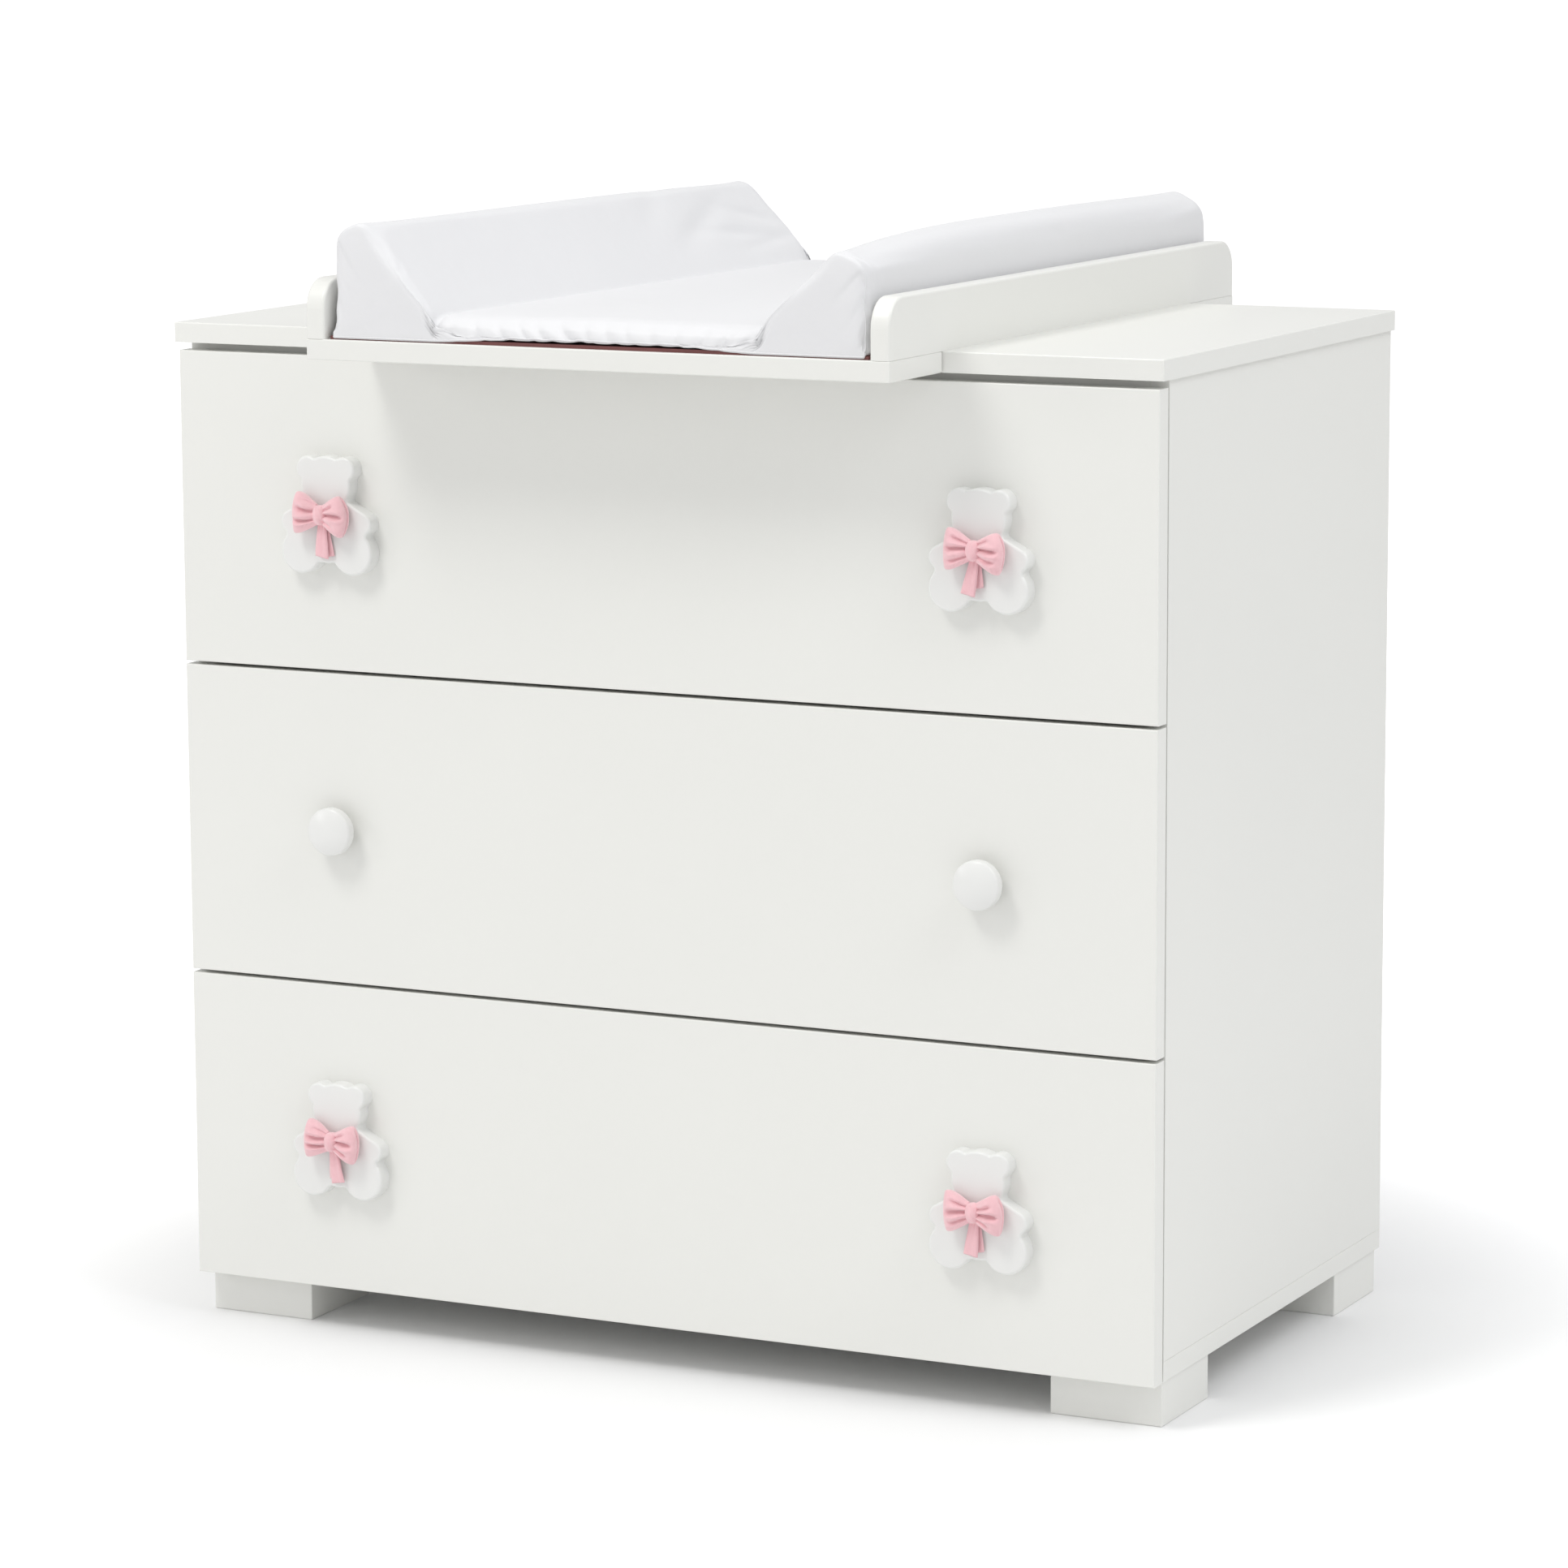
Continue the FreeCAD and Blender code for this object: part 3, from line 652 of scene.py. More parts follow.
@dataclass
class Cabinet(Assembly):
    """The cabinet: two sides, a top, a bottom and a thin back on dowels, two rails and four feet."""

    panels: tuple[str, ...] = ("top_panel", "bottom_panel", "back_panel", "front_rail", "rear_rail")
    rows: tuple[str, ...] = ("front", "rear")

    def pieces(self) -> list[str]:
        """Give the names of the panels, rails, dowels and feet.

        Returns:
            The names.
        """
        sides = [f"side_panel_{side}" for side in SIDES]
        feet = [f"foot_{row}_{side}" for row in self.rows for side in SIDES]
        return [*self.panels, *sides, *feet, "panel_dowels"]


@dataclass
class Knob(Assembly):
    """A round turned knob on the middle drawer."""

    level: Level
    side: str

    def pieces(self) -> list[str]:
        """Give the knob's name."""
        return [f"knob_round_{self.side}"]


@dataclass
class Bear(Assembly):
    """A bear cut from thick board, with a cotton bow at its neck."""

    level: Level
    side: str

    def pieces(self) -> list[str]:
        """Give the names of the plate and of the bow's made shape."""
        return [f"bear_{part}_{self.level.value}_{self.side}" for part in ("plate", "bow")]

    def assemble(self, wardrobe: Wardrobe) -> None:
        """Dress the plate and tie the bow in front of it.

        Args:
            wardrobe: The finishes.
        """
        super().assemble(wardrobe)
        bow = self.pieces()[1]
        Bow(bow, f"drawer_{self.level.value}", BOW_SHAPES[bow]).assemble(wardrobe)


@dataclass
class Drawer(Assembly):
    """A drawer: its front, its box, its pair of three-part runners and its two handles."""

    level: Level
    grip: Grip
    box_parts: tuple[str, ...] = ("front", "side_left", "side_right", "back", "bottom")
    runner_parts: tuple[str, ...] = ("outer", "mid", "inner")

    def pieces(self) -> list[str]:
        """Give the names of the box, the runners and the handle screws.

        Returns:
            The names.
        """
        level = self.level.value
        box = [f"drawer_{level}_{part}" for part in self.box_parts]
        runners = [f"runner_{part}_{level}" for part in self.runner_parts]
        return [*box, *runners, f"handle_screws_{level}"]

    def assemble(self, wardrobe: Wardrobe) -> None:
        """Dress the drawer and fit its handles.

        Args:
            wardrobe: The finishes.
        """
        super().assemble(wardrobe)
        handle = Bear if self.grip is Grip.BEAR else Knob
        for side in SIDES:
            handle(self.level, side).assemble(wardrobe)


@dataclass
class LiftTray(Assembly):
    """The lift-off tray: two rails and two cross boards, screwed together."""

    rows: tuple[str, ...] = ("front", "rear")

    def pieces(self) -> list[str]:
        """Give the names of the rails, the boards and their screws.

        Returns:
            The names.
        """
        rails = [f"tray_rail_{side}" for side in SIDES]
        return [*rails, *(f"tray_board_{row}" for row in self.rows), "tray_screws"]


# ---------------------------------------------------------------- mesh helpers

def mesh_piece(name: str, points: np.ndarray, faces: list[tuple[int, ...]]) -> bpy.types.Object:
    """Make a smooth mesh piece.

    Args:
        name: The piece's name.
        points: Its vertices, in metres, as an array of three columns.
        faces: Its faces, as tuples of vertex numbers.

    Returns:
        The piece, linked to the scene.
    """
    mesh = bpy.data.meshes.new(name)
    mesh.from_pydata(points.tolist(), [], faces)
    mesh.validate()
    mesh.update()
    mesh.shade_smooth()
    piece = bpy.data.objects.new(name, mesh)
    bpy.context.scene.collection.objects.link(piece)
    return piece


def lofted(name: str, rings: np.ndarray) -> bpy.types.Object:
    """Make a closed skin through rings of points, with a cap on each end.

    Args:
        name: The piece's name.
        rings: An array of rings, each with as many points, going round the same way.

    Returns:
        The piece.
    """
    count, around = rings.shape[:2]
    points = rings.reshape(-1, 3)
    faces = []
    for ring in range(count - 1):
        for spot in range(around):
            after = (spot + 1) % around
            low, high = ring * around, (ring + 1) * around
            faces.append((low + spot, low + after, high + after, high + spot))
    middles = np.array([rings[0].mean(0), rings[-1].mean(0)])
    first = len(points)
    points = np.vstack([points, middles])
    last_ring = (count - 1) * around
    for spot in range(around):
        after = (spot + 1) % around
        faces.append((first, after, spot))
        faces.append((first + 1, last_ring + spot, last_ring + after))
    return mesh_piece(name, points, faces)


def tube(name: str, path: np.ndarray, radius: float, around: int = 8) -> bpy.types.Object:
    """Make a round tube along a path of points.

    Args:
        name: The piece's name.
        path: The middle line's points, in metres.
        radius: The tube's radius, in metres.
        around: How many points go round it.

    Returns:
        The piece.
    """
    steps = np.gradient(path, axis=0)
    steps /= np.linalg.norm(steps, axis=1)[:, None]
    rings = []
    side = np.cross(steps[0], (0.0, 0.3, 1.0))
    for spot, step in zip(path, steps):
        side = side - step * float(side @ step)
        side /= np.linalg.norm(side)
        other = np.cross(step, side)
        turns = np.linspace(0.0, 2.0 * math.pi, around, endpoint=False)
        rings.append(spot + radius * (np.outer(np.cos(turns), side) + np.outer(np.sin(turns), other)))
    return lofted(name, np.array(rings))


def smoothed(value: np.ndarray | float, low: float, high: float) -> np.ndarray | float:
    """Return how far a value is from low to high, from 0 to 1, with soft ends.

    Args:
        value: The value, or an array of them.
        low: Where the share is 0.
        high: Where the share is 1.

    Returns:
        The share.
    """
    share = np.clip((value - low) / (high - low), 0.0, 1.0)
    return share * share * (3.0 - 2.0 * share)


def bell(value: np.ndarray, half: float) -> np.ndarray:
    """Return 1 where a value is 0, falling softly towards 0 past a half width."""
    return np.exp(-(value / half) ** 2)


def vertices(piece: bpy.types.Object) -> np.ndarray:
    """Return a mesh piece's vertices as an array of three columns.

    Args:
        piece: The mesh piece.

    Returns:
        The places.
    """
    flat = np.zeros(len(piece.data.vertices) * 3)
    piece.data.vertices.foreach_get("co", flat)
    return flat.reshape(-1, 3)


def set_vertices(piece: bpy.types.Object, points: np.ndarray) -> None:
    """Put a mesh piece's vertices at the points of an array."""
    piece.data.vertices.foreach_set("co", points.reshape(-1))
    piece.data.update()


def normals(piece: bpy.types.Object) -> np.ndarray:
    """Return a mesh piece's vertex normals as an array of three columns.

    Args:
        piece: The mesh piece.

    Returns:
        The directions.
    """
    flat = np.zeros(len(piece.data.vertices) * 3)
    piece.data.vertex_normals.foreach_get("vector", flat)
    return flat.reshape(-1, 3)


def apply_modifiers(piece: bpy.types.Object) -> None:
    """Turn what a piece's modifiers make into its own mesh.

    Args:
        piece: The mesh piece.
    """
    shown = piece.evaluated_get(bpy.context.evaluated_depsgraph_get())
    mesh = bpy.data.meshes.new_from_object(shown)
    piece.modifiers.clear()
    old = piece.data
    piece.data = mesh
    bpy.data.meshes.remove(old)
    piece.data.shade_smooth()


def refined(piece: bpy.types.Object) -> None:
    """Subdivide a piece's mesh once, smoothly, and keep the result.

    Args:
        piece: The mesh piece.
    """
    soft = piece.modifiers.new("refine", "SUBSURF")
    soft.levels = soft.render_levels = 1
    apply_modifiers(piece)


# ---------------------------------------------------------------- the mat

@dataclass(frozen=True)
class Crease:
    """A soft crease in the cover: its middle, the way it runs, its half width, length and depth."""

    x: float
    y: float
    turn: float
    half: float
    length: float
    depth: float


Gather = tuple[float, float, float, float]

FRONT_GATHERS: tuple[Gather, ...] = (
    (-0.86, 0.03, 0.05, 0.6), (-0.70, 0.022, 0.07, 0.9), (-0.55, 0.026, 0.08, 1.0), (-0.41, 0.02, 0.09, 0.8),
    (-0.30, 0.03, 0.10, 1.1), (-0.14, 0.04, 0.12, 1.9), (-0.03, 0.022, 0.05, 0.8), (0.10, 0.03, 0.07, 1.0),
    (0.22, 0.022, 0.06, 0.7), (0.36, 0.034, 0.05, 1.0), (0.50, 0.024, 0.02, 0.7), (0.64, 0.034, -0.03, 1.1),
    (0.78, 0.024, -0.05, 0.9), (0.90, 0.02, -0.06, 0.7),
)
REAR_GATHERS: tuple[Gather, ...] = (
    (-0.83, 0.028, -0.04, 0.8), (-0.62, 0.03, 0.06, 1.0), (-0.44, 0.024, 0.03, 0.8), (-0.22, 0.036, 0.08, 1.2),
    (0.02, 0.024, -0.05, 0.9), (0.19, 0.03, 0.06, 1.1), (0.43, 0.026, -0.04, 0.8), (0.61, 0.034, 0.05, 1.1),
    (0.81, 0.024, 0.03, 0.8),
)

COVER_CLOTH = {
    "quality": 5, "mass": 0.3, "tension_stiffness": 25, "compression_stiffness": 25, "shear_stiffness": 8,
    "bending_stiffness": 1.5, "use_pressure": True, "vertex_group_mass": "held",
}


@dataclass
class ChangingMat:
    """The sewn mat: one cover over a flat pad and two wedge bolsters, on a thin hard board."""

    wall_lean: float = 5 * MM
    shoulder_drop: float = 11 * MM
    shoulder_radius: float = 17 * MM
    crest_inset: float = 31 * MM
    crest_radius: float = 11 * MM
    foot_radius: float = 8 * MM
    pad_rise: float = 18 * MM
    pad_crown: float = 2.0 * MM
    end_round: float = 5 * MM
    side_clearance: float = 1.6 * MM
    pillow: float = 2.2 * MM
    pressure: float = 3.0
    frames: int = 12
    across_step: float = 4 * MM
    front_sag: float = 12.5 * MM
    sag_length: float = 115 * MM
    tuck_depth: float = 5.5 * MM
    hem_drop: float = 4.5 * MM
    skirt: float = 2.4 * MM
    rear_drop: float = 3 * MM
    rear_round: float = 21 * MM
    hem_lift: float = 1.5 * MM
    hem_height: float = 16 * MM
    seam_half: float = 2.6 * MM
    seam_depth: float = 1.9 * MM
    gather_depth: float = 1.5 * MM
    gather_roll: float = 0.5 * MM
    pinch_half: float = 2.2 * MM
    pinch_depth: float = 1.8 * MM
    rear_reach: float = 170 * MM
    station_count: int = 112
    station_ease: float = 0.72
    welt: float = 0.7 * MM
    soft_nodes: tuple[str, ...] = ("mat_center_pad", "mat_bolster_left", "mat_bolster_right")

    def __post_init__(self) -> None:
        """Read the places of the pad and the bolsters from the frame."""
        left_low, left_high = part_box("mat_bolster_left")
        right_low, right_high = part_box("mat_bolster_right")
        self.outer = right_high.x
        self.foot = right_low.x
        self.base_z = left_low.z
        self.crest_z = left_high.z
        self.front_y, self.rear_y = left_low.y, left_high.y

    def top_outline(self) -> np.ndarray:
        """Draw the cover's upper outline across the mat, from one lower edge to the other.

        Returns:
            The outline, as an array of places across and up.
        """
        crest = self.crest_z - self.base_z
        outer = self.outer - self.side_clearance
        stops = [
            (outer, 0.0, 0.0),
            (outer - self.wall_lean, crest - self.shoulder_drop + 3 * MM, self.shoulder_radius),
            (outer - self.crest_inset, crest + 2 * MM, self.crest_radius),
            (self.foot + 2 * MM, self.pad_rise, self.foot_radius),
            (0.0, self.pad_rise + self.pad_crown, 0.0),
        ]
        half = [stops[0][:2]]
        for before, here, after in zip(stops[:-2], stops[1:-1], stops[2:]):
            half.extend(rounded_corner(before[:2], here[:2], after[:2], here[2]))
        half.append(stops[-1][:2])
        right = resampled(np.array(half), self.across_step)
        bolster = right[:, 0] > self.foot + 4 * MM
        right[:, 1] *= np.where(bolster, (crest - 1 * MM) / right[:, 1].max(), 1.0)
        left = right[:-1] * (-1.0, 1.0)
        return np.vstack([left, right[::-1]])

    def stations(self) -> list[tuple[float, float]]:
        """Space the stations along the mat, close together at both ends.

        Returns:
            Each station's place along the mat, and how far the outline shrinks there.
        """
        turns = np.linspace(0.0, 0.5 * math.pi, 7)[:-1]
        ends = [self.front_y + self.end_round * (1 - math.sin(turn)) for turn in turns[::-1]]
        front = [(y, self.end_round * (1 - math.sin(math.acos(1 - (y - self.front_y) / self.end_round))))
                 for y in ends]
        start, length = self.front_y + self.end_round, self.rear_y - self.front_y - 2 * self.end_round
        shares = np.linspace(0.0, 1.0, self.station_count)
        eased = shares - self.station_ease * np.sin(2 * math.pi * shares) / (2 * math.pi)
        rear = [(self.front_y + self.rear_y - y, inset) for y, inset in front[::-1]]
        middle = [(start + length * float(share), 0.0) for share in eased]
        return front[:-1] + middle + rear[1:]

    def build(self) -> bpy.types.Object:
        """Build the cover as one closed skin, swell it, and crease it where it is sewn.

        Returns:
            The cover.
        """
        top = self.top_outline()
        count = len(top)
        length = np.cumsum(np.r_[0.0, np.linalg.norm(np.diff(top, axis=0), axis=1)])
        flat_x = top[0, 0] + (top[-1, 0] - top[0, 0]) * length / length[-1]
        along = np.gradient(top, axis=0)
        along /= np.linalg.norm(along, axis=1)[:, None]
        inward = np.stack([along[:, 1], -along[:, 0]], axis=1)
        upper, lower = [], []
        for y, inset in self.stations():
            shrunk = top + inward * inset
            shrunk[:, 1] = np.maximum(shrunk[:, 1], 0.0)
            upper.append(np.column_stack([shrunk[:, 0], np.full(count, y), self.base_z + shrunk[:, 1]]))
            squeeze = 1 - inset / self.outer
            lower.append(np.column_stack([flat_x * squeeze, np.full(count, y), np.full(count, self.base_z)]))
        upper, lower = np.array(upper), np.array(lower)
        lower[:, 0], lower[:, -1] = upper[:, 0], upper[:, -1]
        cover = mesh_piece("mat_cover", *closed_shell(upper, lower, 5))
        self.swell(cover)
        refined(cover)
        self.sew(cover)
        return cover

    def swell(self, cover: bpy.types.Object) -> None:
        """Let the cover swell a little over its foam, and keep its underside flat.

        Args:
            cover: The cover.
        """
        rest = vertices(cover)
        held = cover.vertex_groups.new(name="held")
        flat = np.nonzero(rest[:, 2] < self.base_z + 0.2 * MM)[0]
        held.add([int(index) for index in flat], 1.0, "REPLACE")
        cloth = cover.modifiers.new("cloth", "CLOTH")
        for name, value in COVER_CLOTH.items():
            setattr(cloth.settings, name, value)
        cloth.settings.uniform_pressure_force = self.pressure
        cloth.settings.effector_weights.gravity = 0.0
        cloth.collision_settings.use_self_collision = False
        scene = bpy.context.scene
        for number in range(1, self.frames + 1):
            scene.frame_set(number)
        apply_modifiers(cover)
        scene.frame_set(1)
        moved = np.nan_to_num(vertices(cover) - rest)
        far = np.linalg.norm(moved, axis=1)
        limit = np.minimum(1.0, self.pillow / np.maximum(far, 1e-9))
        points = rest + moved * limit[:, None]
        points[:, 0] = np.clip(points[:, 0], -self.outer, self.outer)
        points[:, 1] = np.clip(points[:, 1], self.front_y - 1 * MM, self.rear_y + 1 * MM)
        points[:, 2] = np.maximum(points[:, 2], self.base_z)
        set_vertices(cover, points)
        log.info("cover swelled by up to %.1f mm", float(far.max()) / MM)

    def sew(self, cover: bpy.types.Object) -> None:
        """Press in the seams, the gathers of the ends and the soft dents of the bolsters.

        Args:
            cover: The swollen and subdivided cover.
        """
        points, out = vertices(cover), normals(cover)
        places = points.copy()
        rise = places[:, 2] - self.base_z
        near_pad = np.abs(places[:, 0]) - (self.foot - 1 * MM)
        low_part = 1.0 - smoothed(rise, 24 * MM, 34 * MM)
        seam = bell(near_pad, self.seam_half) * smoothed(rise, 2 * MM, 8 * MM) * low_part
        points -= out * (self.seam_depth * seam)[:, None]
        self.gather_end(points, places, self.front_y, 1.0, FRONT_GATHERS)
        self.gather_end(points, places, self.rear_y, -1.0, REAR_GATHERS)
        self.slump(points, places)
        for crease in self.creases():
            x, y = places[:, 0] - crease.x, places[:, 1] - crease.y
            along = x * math.cos(crease.turn) + y * math.sin(crease.turn)
            aside = -x * math.sin(crease.turn) + y * math.cos(crease.turn)
            bowl = np.exp(-(aside / crease.half) ** 2 - (along / crease.length) ** 2)
            points -= out * (crease.depth * bowl * smoothed(rise, 4 * MM, 20 * MM))[:, None]
        points[:, 0] = np.clip(points[:, 0], -self.outer, self.outer)
        points[:, 2] = np.clip(points[:, 2], self.base_z - self.skirt, self.crest_z + 2 * MM)
        set_vertices(cover, points)

    def gather_end(self, points: np.ndarray, places: np.ndarray, end: float, inward: float,
                   gathers: tuple[Gather, ...]) -> None:
        """Gather the pad's edge at one end, lift its hem off the board and draw the corners down.

        Args:
            points: The cover's points, which are moved.
            places: Where the points were before the sewing.
            end: The end's place along the mat.
            inward: The way into the mat from that end, 1 or -1.
            gathers: The end's gathers.
        """
        x, rise = places[:, 0], places[:, 2] - self.base_z
        wide, depth = np.abs(x), np.abs(places[:, 1] - end)
        above = smoothed(rise, 2 * MM, 8 * MM)
        low_part = 1.0 - smoothed(rise, 24 * MM, 34 * MM)
        pad = 1.0 - smoothed(wide, self.foot - 2 * MM, self.foot + 3 * MM)
        fold = gathered(x / self.foot, rise / self.hem_height, gathers)
        face = bell(depth, 7 * MM) * pad
        points[:, 1] += inward * face * smoothed(rise, 0.5 * MM, 5 * MM) * fold * self.gather_depth
        roll = bell(depth, 16 * MM) * pad * above
        points[:, 2] -= roll * (fold * self.gather_roll + self.hem_drop)
        tuck = bell(self.foot - 2 * MM - wide, 8 * MM) * bell(depth, 11 * MM)
        points[:, 2] -= self.tuck_depth * tuck * smoothed(rise, 3 * MM, 17 * MM) * low_part
        pinch = bell(wide - self.foot + 1 * MM, self.pinch_half)
        points[:, 1] += inward * self.pinch_depth * pinch * bell(depth, 6 * MM) * low_part
        under = (1.0 - smoothed(rise, 0.0, 14 * MM)) * bell(depth, 14 * MM)
        points[:, 2] += self.hem_arch(x, gathers) * under
        edge = (1.0 - smoothed(rise, 0.0, 6 * MM)) * (depth < 2.5 * MM) * self.beside_pad(wide)
        points[:, 2] -= self.skirt * edge
        points[:, 1] = np.where(edge > 0.02, end - inward * 0.7 * MM, points[:, 1])

    def hem_arch(self, x: np.ndarray, gathers: tuple[Gather, ...]) -> np.ndarray:
        """Return how far the hem stands off the board across the mat.

        Args:
            x: The places across.
            gathers: The end's gathers, which make the hem uneven.

        Returns:
            The lift at each place.
        """
        arch = np.clip(1.0 - (np.abs(x) / (self.foot - 4 * MM)) ** 4, 0.0, 1.0)
        return self.hem_lift * arch * (1.0 + 0.5 * gathered(x / self.foot, np.zeros_like(x), gathers))

    def beside_pad(self, wide: np.ndarray) -> np.ndarray:
        """Return how far a place is under a bolster rather than under the pad, from 0 to 1."""
        return smoothed(wide, 0.5 * self.foot, 0.95 * self.foot)

    def slump(self, points: np.ndarray, places: np.ndarray) -> None:
        """Let the bolsters' crests slump: both at the rear, and the right one at its front.

        Args:
            points: The cover's points, which are moved.
            places: Where the points were before the sewing.
        """
        x, y, z = places.T
        top = smoothed(z - self.base_z, 30 * MM, 95 * MM)
        points[:, 2] -= self.rear_drop * bell(self.rear_y - y, self.rear_reach) * top
        late = np.clip(y - (self.rear_y - self.rear_round), 0.0, self.rear_round)
        points[:, 2] -= (self.rear_round - np.sqrt(self.rear_round ** 2 - late ** 2)) * top ** 2
        sag = np.exp(-(np.maximum(y - self.front_y, 0.0) / self.sag_length) ** 1.6) * (x > 0)
        points[:, 2] -= self.front_sag * sag * top

    def creases(self) -> tuple[Crease, ...]:
        """List the soft creases on the slopes and the bolsters' ends.

        Returns:
            The creases.
        """
        slope, rear, front = (self.outer + self.foot) / 2, self.rear_y, self.front_y
        return (
            Crease(-slope + 14 * MM, rear - 165 * MM, 1.78, 8 * MM, 58 * MM, 2.8 * MM),
            Crease(-slope + 24 * MM, rear - 110 * MM, 1.50, 4.5 * MM, 60 * MM, 2.0 * MM),
            Crease(-slope + 12 * MM, rear - 60 * MM, 1.42, 4.5 * MM, 46 * MM, 1.8 * MM),
            Crease(-slope + 33 * MM, rear - 60 * MM, 1.62, 4 * MM, 52 * MM, 1.6 * MM),
            Crease(-slope - 4 * MM, rear - 235 * MM, 1.95, 10 * MM, 46 * MM, 1.5 * MM),
            Crease(slope - 20 * MM, rear - 130 * MM, 1.2, 7 * MM, 40 * MM, 1.8 * MM),
            Crease(slope - 26 * MM, front + 40 * MM, 0.9, 5 * MM, 26 * MM, 1.4 * MM),
            Crease(self.outer - 16 * MM, front + 12 * MM, 0.5, 2.5 * MM, 12 * MM, 1.3 * MM),
            Crease(self.outer - 12 * MM, front + 24 * MM, 0.8, 2.5 * MM, 12 * MM, 1.1 * MM),
            Crease(self.outer - 24 * MM, front + 9 * MM, 0.1, 2.5 * MM, 9 * MM, 0.9 * MM),
        )

    def welts(self, cover: bpy.types.Object) -> list[bpy.types.Object]:
        """Lay the sewn edges: along the lower edge of each end, and up the right bolster's front corner.

        Args:
            cover: The sewn cover.

        Returns:
            The edges.
        """
        skin = BVHTree.FromObject(cover, bpy.context.evaluated_depsgraph_get())
        pieces = []
        for label, y, out, gathers in (("front", self.front_y, -1.0, FRONT_GATHERS),
                                       ("rear", self.rear_y, 1.0, REAR_GATHERS)):
            xs = np.linspace(-self.outer + 3 * MM, self.outer - 3 * MM, 240)
            down = (self.skirt - 0.4 * MM) * self.beside_pad(np.abs(xs))
            zs = self.base_z + 0.9 * MM - down + self.hem_arch(xs, gathers)
            before = y + out * 2 * MM
            path = [skin.find_nearest(Vector((x, before, z)))[0] for x, z in zip(xs, zs)]
            pieces.append(tube(f"mat_hem_{label}", evened(np.array(path)), self.welt))
        corner = []
        for rise in np.linspace(4 * MM, 70 * MM, 40):
            spot = Vector((self.outer, self.front_y, self.base_z + rise))
            corner.append(skin.find_nearest(spot)[0])
        pieces.append(tube("mat_welt_corner", evened(np.array(corner)), 0.6 * self.welt))
        return pieces

    def assemble(self, wardrobe: Wardrobe) -> None:
        """Build, dress and place the whole mat on its board.

        Args:
            wardrobe: The finishes.
        """
        for name in ("mat_base_board", *self.soft_nodes):
            wardrobe.dress_node(name)
        cover = self.build()
        trims = self.welts(cover)
        wardrobe.dress(cover, "mat_cover")
        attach(cover, "mat")
        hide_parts(*self.soft_nodes)
        for trim in trims:
            wardrobe.dress(trim, "mat_cover")
            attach(trim, "mat")
        log.info("mat cover with %d sewn edges", len(trims))


def gathered(share: np.ndarray, rise: np.ndarray, gathers: tuple[Gather, ...]) -> np.ndarray:
    """Return how deep the gathers of a sewn edge are at a place.

    Args:
        share: The place across, from -1 to 1.
        rise: The place up, from 0 to 1.
        gathers: Each gather's middle, half width, lean and depth.

    Returns:
        The depth, positive in the folds and a little negative between them.
    """
    depth = np.full_like(share, -0.28)
    for middle, half, lean, deep in gathers:
        aside = share - middle + lean * (rise - 0.5)
        depth += deep * np.exp(-(aside / half) ** 2)
    return depth


def evened(path: np.ndarray) -> np.ndarray:
    """Return a path of points with its small jumps smoothed away.

    Args:
        path: The points.

    Returns:
        The smoothed path.
    """
    path = path.copy()
    for _ in range(3):
        path[1:-1] = 0.25 * path[:-2] + 0.5 * path[1:-1] + 0.25 * path[2:]
    return path


def rounded_corner(before: tuple, corner: tuple, after: tuple, radius: float) -> list[tuple[float, float]]:
    """Return points along an arc that rounds one corner of an outline.

    Args:
        before: The point before the corner.
        corner: The corner.
        after: The point after the corner.
        radius: The arc's radius, in metres.

    Returns:
        The arc's points, from the side of the point before.
    """
    here = np.array(corner)
    to_before = np.array(before) - here
    to_after = np.array(after) - here
    to_before /= np.linalg.norm(to_before)
    to_after /= np.linalg.norm(to_after)
    half = 0.5 * math.acos(float(np.clip(to_before @ to_after, -1.0, 1.0)))
    reach = radius / math.tan(half)
    middle_way = to_before + to_after
    middle = here + middle_way / np.linalg.norm(middle_way) * radius / math.sin(half)
    start, end = here + to_before * reach - middle, here + to_after * reach - middle
    points = []
    for share in np.linspace(0.0, 1.0, 9):
        mixed = start * (1 - share) + end * share
        spot = middle + mixed / np.linalg.norm(mixed) * radius
        points.append((float(spot[0]), float(spot[1])))
    return points


def resampled(outline: np.ndarray, step: float) -> np.ndarray:
    """Return an outline's points spaced evenly at about a step.

    Args:
        outline: The points of the outline.
        step: The spacing, in metres.

    Returns:
        The new points.
    """
    length = np.cumsum(np.r_[0.0, np.linalg.norm(np.diff(outline, axis=0), axis=1)])
    count = max(2, int(round(length[-1] / step)) + 1)
    spots = np.linspace(0.0, length[-1], count)
    return np.stack([np.interp(spots, length, outline[:, axis]) for axis in (0, 1)], axis=1)


